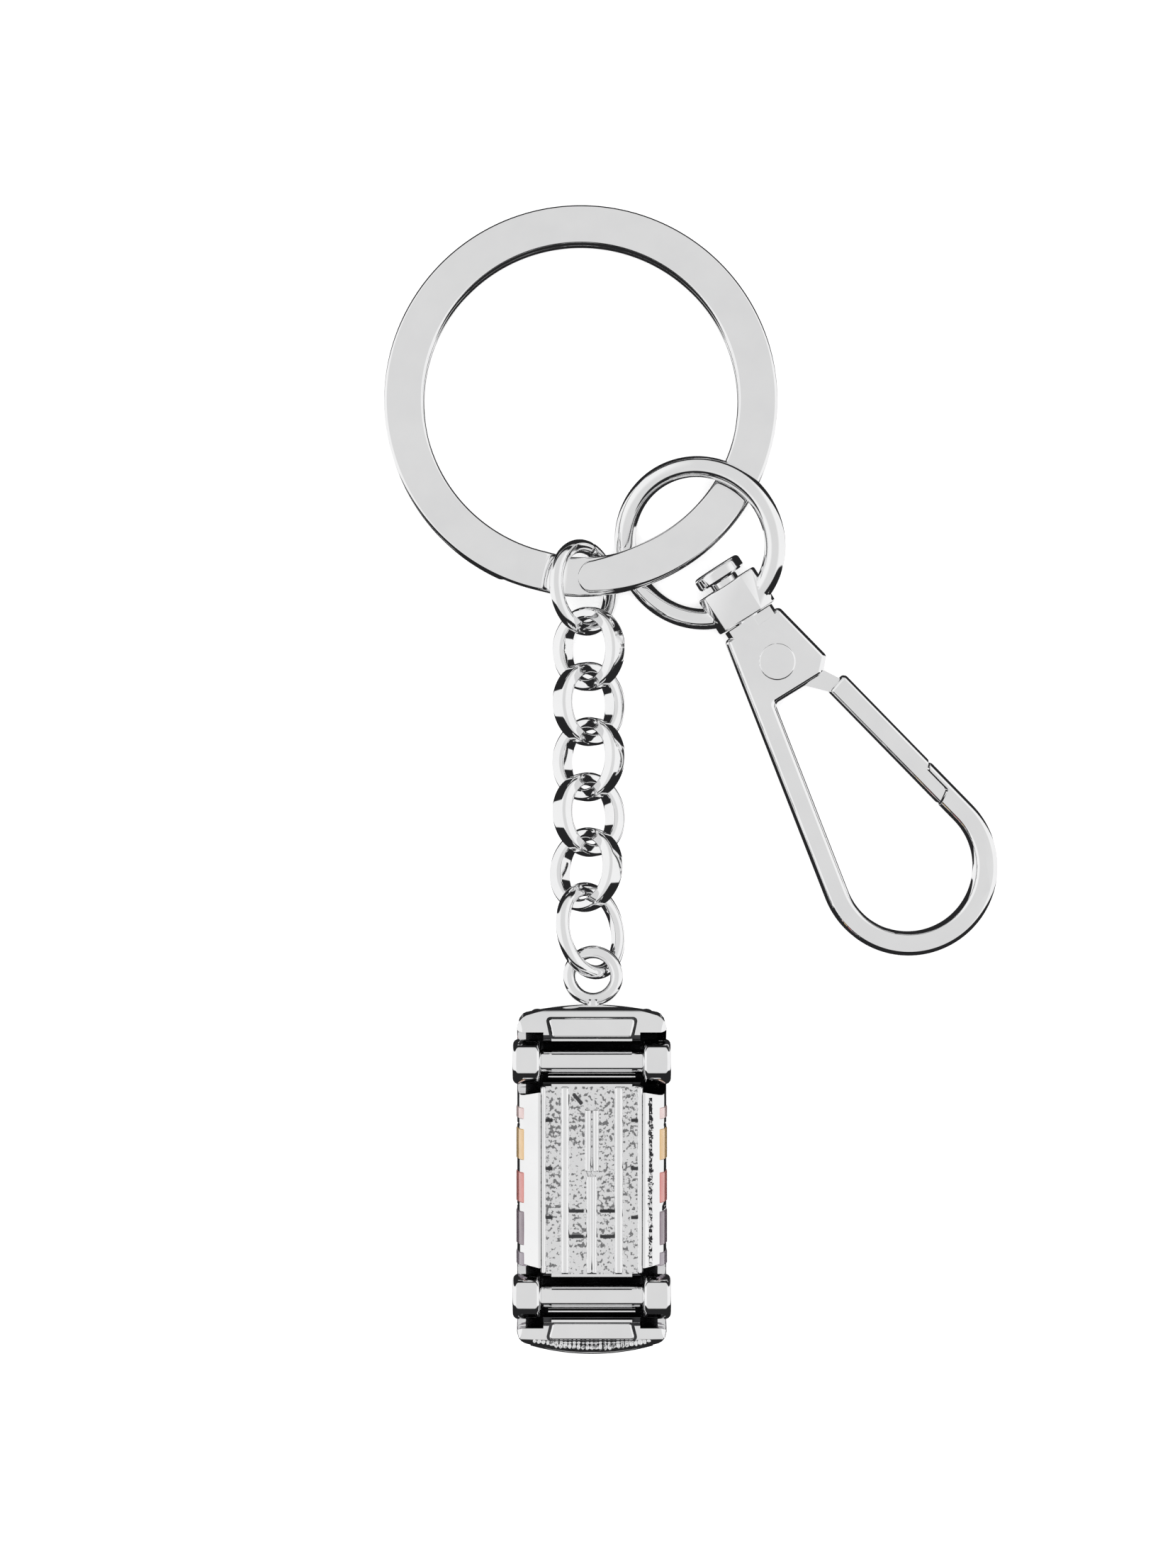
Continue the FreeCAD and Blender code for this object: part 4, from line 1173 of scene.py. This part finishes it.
def make_hollows():
    """Painted shade on the walls of the axle troughs and wheel arches, the notch floors and the pad grooves, as thin
    dark shells, with a bright lip in each trough.
    """
    shells = []
    lips = []
    for along in AXLES.values():
        # dark shells on the lower walls of each trough and arch: painted shade
        shells.append(swept_mesh("trough", liner_rows(along, SLOT_HALF, -SLOT_END, SLOT_END), False))
        for side in (-1, 1):
            rows = liner_rows(along, ARCH_RADIUS, side * ARCH_INNER, side * ARCH_WALL_END)
            shells.append(swept_mesh("arch", rows, False))
            # dark blocks on the notch floors either side of the trough: painted shade
            low_x, high_x = sorted((side * (LIP_END - 0.24), side * (ARCH_INNER + 0.02)))
            reach = NOTCH_HALF - 0.01
            for low_y, high_y in ((along - reach, along - SLOT_HALF), (along + SLOT_HALF, along + reach)):
                shells.append(car_block((low_x, low_y, NOTCH_FLOOR), (high_x, high_y, NOTCH_FLOOR + 0.06)))
        lips.append(car_rod((-LIP_END, along - 1.14, 8.86), (LIP_END, along - 1.14, 8.86), 0.075, 24))
    # a dark ring on the floor of each pad's groove: painted shade
    for row in PADS:
        outline = filleted(pad_outline(row, GROOVE - 0.01, 0.3))
        floor = CAR_TOP - GROOVE_DEPTH
        shells.append(plate_mesh("groove", outline, floor - 0.07, floor + 0.05, CAR_PLACE))
    new_piece("hollow_shade_walls", joined_mesh("hollow_shade_walls", shells), "car_body", "recess_shadow")
    new_piece("trough_lips", joined_mesh("trough_lips", lips), "car_body")


def front_bow(turn, inset, up):
    """A point a little inside the bowed front edge, at an angle from its middle."""
    reach = BOW_RADIUS - inset
    return Vector((math.sin(turn) * reach, -BOW_CENTRE - math.cos(turn) * reach, up))


def make_grille():
    """A row of small uneven beads over a thin lip, along the bowed front edge."""
    beads = []
    for step in range(-13, 14):
        turn = step * BEAD_PITCH / BOW_RADIUS
        bead = bmesh.new()
        bmesh.ops.create_uvsphere(bead, u_segments=14, v_segments=10, radius=1.0)
        tall = 0.14 + 0.08 * random.random()
        size = Matrix.Diagonal((0.15 + 0.06 * random.random(), 0.2 + 0.12 * random.random(), tall, 1))
        place = Matrix.Translation(front_bow(turn, 0.42, 9.78)) @ Matrix.Rotation(turn, 4, "Z")
        bead.transform(Matrix.Scale(MM, 4) @ CAR_PLACE @ place @ size)
        mesh = bpy.data.meshes.new("bead")
        bead.to_mesh(mesh)
        bead.free()
        beads.append(mesh)
    # the beads take the hammered finish, with its painted shade in the pits
    mesh = joined_mesh("grille_beads", beads)
    smooth(mesh, 60)
    new_piece("grille_beads", mesh, "car_body", "chassis_metal")
    lip = []
    for step in range(49):
        turn = BUMPER_HALF * (step / 24 - 1) / BOW_RADIUS
        centre = front_bow(turn, 0.02, 9.0)
        out = Vector((math.sin(turn), -math.cos(turn), 0))
        section = circle_outline(0.17, 14)
        lip.append([CAR_PLACE @ (centre + out * across + Vector((0, 0, up))) for across, up in section])
    new_piece("bumper_lip", swept_mesh("bumper_lip", lip, False), "car_body")


def rib_mesh(across, start, end, half_width, top, base):
    """A rib with a rounded back that runs along the car, with rounded ends."""
    rows = []
    for along, part in ((start, 0.25), (start + 0.05, 0.7), (start + 0.14, 1.0),
                        (end - 0.14, 1.0), (end - 0.05, 0.7), (end, 0.25)):
        section = arc((across, base), (half_width * (0.6 + 0.4 * part), (top - base) * part), 0, 180, 16)
        rows.append([CAR_PLACE @ Vector((x, along, z)) for x, z in section])
    return swept_mesh("rib", rows, False)


def make_chassis():
    """The hammered underside plate, its smooth ribs, its cross marks in painted shade, and the rough seam beside it,
    dark with painted shade.
    """
    floor_up = CAR_TOP - FLOOR_DROP
    outline = filleted(rectangle((-PLATE_HALF_WIDTH, PLATE_FRONT), (PLATE_HALF_WIDTH, PLATE_REAR), 0.15), 3)
    mesh = plate_mesh("chassis_floor", outline, CAR_TOP - 0.9, floor_up, CAR_PLACE)
    replace_node("chassis_floor", mesh, "chassis_plate")
    ribs = []
    for across, start, end, half in RIBS:
        for side in (-1, 1):
            ribs.append(rib_mesh(side * across, start, end, half, CAR_TOP + 0.02, floor_up))
    new_piece("chassis_ribs", joined_mesh("chassis_ribs", ribs), "chassis_plate", "car_chrome")
    low, high = floor_up - 0.1, floor_up + 0.22
    marks = []
    spots = [(3.28, along, 0.36) for along in (4.42, 0.83, -2.81)]
    spots += [(1.18, along, 0.57) for along in (-2.33, -4.23)]
    for across, along, half in spots:
        for side in (-1, 1):
            middle = side * across
            corners = rectangle((middle - half, along - 0.12), (middle + half, along + 0.12), 0.05)
            marks.append(plate_mesh("mark", filleted(corners, 3), low, high, CAR_PLACE))
    slanted = CAR_PLACE @ Matrix.Translation((-1.05, 6.0, 0)) @ Matrix.Rotation(math.radians(-50), 4, "Z")
    marks.append(block_mesh("mark", (-0.5, -0.13, low), (0.5, 0.13, high), slanted))
    # the marks are dark with painted shade, in the recess_shadow finish
    mesh = joined_mesh("chassis_marks", marks)
    rounded_edges(new_piece("chassis_marks", mesh, "chassis_plate", "recess_shadow"), 0.05, 2)
    # a near-black strip and chips in the sill groove: painted shade, over a rough texture
    low_end = (SEAM_AT - 0.12, SEAM_START + 0.02, CAR_TOP - 0.8)
    chips = [car_block(low_end, (SEAM_AT + 0.12, SEAM_END - 0.02, CAR_TOP - 0.32))]
    for _ in range(90):
        along = random.uniform(SEAM_START + 0.1, SEAM_END - 0.1)
        across = SEAM_AT + random.uniform(-0.16, 0.16)
        half_width = random.uniform(0.03, 0.09)
        half_length = random.uniform(0.04, 0.16)
        surface = between([(3.85, 10.1), (4.3, 9.95), (4.75, 9.7)], across)
        place = CAR_PLACE @ Matrix.Translation((across, along, surface))
        place = place @ Matrix.Rotation(SILL_SLOPE, 4, "Y")
        low = (-half_width, -half_length, -0.25)
        chips.append(block_mesh("chip", low, (half_width, half_length, 0.015), place))
    new_piece("sill_seam", joined_mesh("sill_seam", chips), "car_body", "seam_shade_metal")


def make_wheels():
    """Two axles, each with a pair of round-shouldered wheels pressed on its journals."""
    inner = WHEEL_OUTER - WHEEL_WIDTH
    journal = WHEEL_OUTER - 0.25
    axle = [(0, -journal), (JOURNAL_RADIUS - 0.12, -journal), (JOURNAL_RADIUS, 0.12 - journal),
            (JOURNAL_RADIUS, -inner), (AXLE_RADIUS - 0.06, -inner), (AXLE_RADIUS, 0.06 - inner)]
    axle += [(radius, -height) for radius, height in reversed(axle)]
    edge = WHEEL_RADIUS - SHOULDER
    dish = WHEEL_WIDTH - 0.4
    wheel = [(JOURNAL_RADIUS, 0.02), (edge, 0.0)]
    wheel += arc((edge, SHOULDER), (SHOULDER, SHOULDER), -90, 0, 8)
    wheel += arc((edge, WHEEL_WIDTH - SHOULDER), (SHOULDER, SHOULDER), 0, 90, 8)
    wheel += [(WHEEL_RADIUS - 0.45, WHEEL_WIDTH), (WHEEL_RADIUS - 0.55, WHEEL_WIDTH - 0.06),
              (WHEEL_RADIUS - 0.72, dish), (JOURNAL_RADIUS + 0.26, dish),
              (JOURNAL_RADIUS + 0.14, WHEEL_WIDTH - 0.12), (JOURNAL_RADIUS, WHEEL_WIDTH - 0.1)]
    for row, along in AXLES.items():
        matrix = car_frame((0, along, AXLE_HEIGHT), 90, "Y")
        replace_node(f"{row}_axle_turned", turned_mesh("axle", axle, matrix), f"{row}_axle")
        for side, word in ((-1, "left"), (1, "right")):
            matrix = car_frame((side * inner, along, AXLE_HEIGHT), 90 * side, "Y")
            node = f"wheel_{row}_{word}"
            replace_node(node + "_cast", turned_mesh(node, wheel, matrix), node)


def make_lamps():
    """Plain domed lamps at the front and the tail."""
    for word, along, up, size in (("head", -12.25, 6.6, 0.62), ("tail", 12.2, 6.3, 0.5)):
        profile = [(size, -0.5)] + arc((0, 0), (size, 0.32), 0, 90, 7)
        for side, hand in ((-1, "left"), (1, "right")):
            matrix = car_frame((side * 4.1, along, up), 90 if along < 0 else -90, "X")
            new_piece(f"{word}lamp_{hand}", turned_mesh("lamp", profile, matrix, 40), "car_body")


def make_charm_eye():
    """A round wire eye with a shank into the tail that flares where it leaves the wire."""
    wire = CHARM_EYE_WIRE / 2
    rows = placed(ring_rows(CHARM_EYE_OUTER - wire, circle_outline(wire, 28), 96), CHARM_EYE_PLACE)
    piece = new_piece("charm_eye_cast", swept_mesh("charm_eye_cast", rows, True), "charm_eye")
    profile = [(0, 0), (wire + SHANK_FLARE, 0)]
    for step in range(1, 9):
        profile.append((wire + SHANK_FLARE * math.exp(-step / 2), SHANK_FLARE_RUN * step / 8))
    profile += [(wire, SHANK_LENGTH), (0, SHANK_LENGTH)]
    down = Matrix.Translation((0, -SHANK_START, 0)) @ Matrix.Rotation(math.radians(90), 4, "X")
    boolean(piece, turned_mesh("shank", profile, CHARM_EYE_PLACE @ down, 48), "UNION")
    smooth(piece.data, 50)
    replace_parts(piece, "charm_eye")


def make_enamel():
    """Fired enamel tiles that follow each flank, a hair proud, up to the turn of the sill."""
    ups = [ENAMEL_LOW + (ENAMEL_HIGH - ENAMEL_LOW) * step / 16 for step in range(17)]
    flank = [(eased(FLANK_LINE, up, 0.12), up) for up in ups]
    for name, node_object in frame["nodes"].items():
        if not name.startswith("enamel"):
            continue
        places = [node_object.matrix_world @ vertex.co / MM for vertex in node_object.data.vertices]
        start = min(place.y for place in places) - CAR_PLACE.translation.y
        end = max(place.y for place in places) - CAR_PLACE.translation.y
        tiles = []
        for side in (-1, 1):
            rows = []
            for along, proud in ((start, 0.0), (start + 0.05, 0.06), (end - 0.05, 0.06), (end, 0.0)):
                row = [(x + proud, up) for x, up in flank] + [(x - 0.25, up) for x, up in reversed(flank)]
                rows.append([CAR_PLACE @ Vector((side * x, along, up)) for x, up in row])
            tiles.append(swept_mesh("tile", rows, False))
        mesh = joined_mesh(name + "_fired", tiles)
        smooth(mesh, 30)
        replace_node(name + "_fired", mesh, name)


make_car_body()
make_hollows()
make_enamel()
make_grille()
make_chassis()
make_wheels()
make_lamps()
make_charm_eye()

# the windows stand a hair proud of the flanks
window_rise = frame["nodes"]["windows"].modifiers.new("window_rise", "DISPLACE")
window_rise.strength = 0.05 * MM
window_rise.mid_level = 0.0
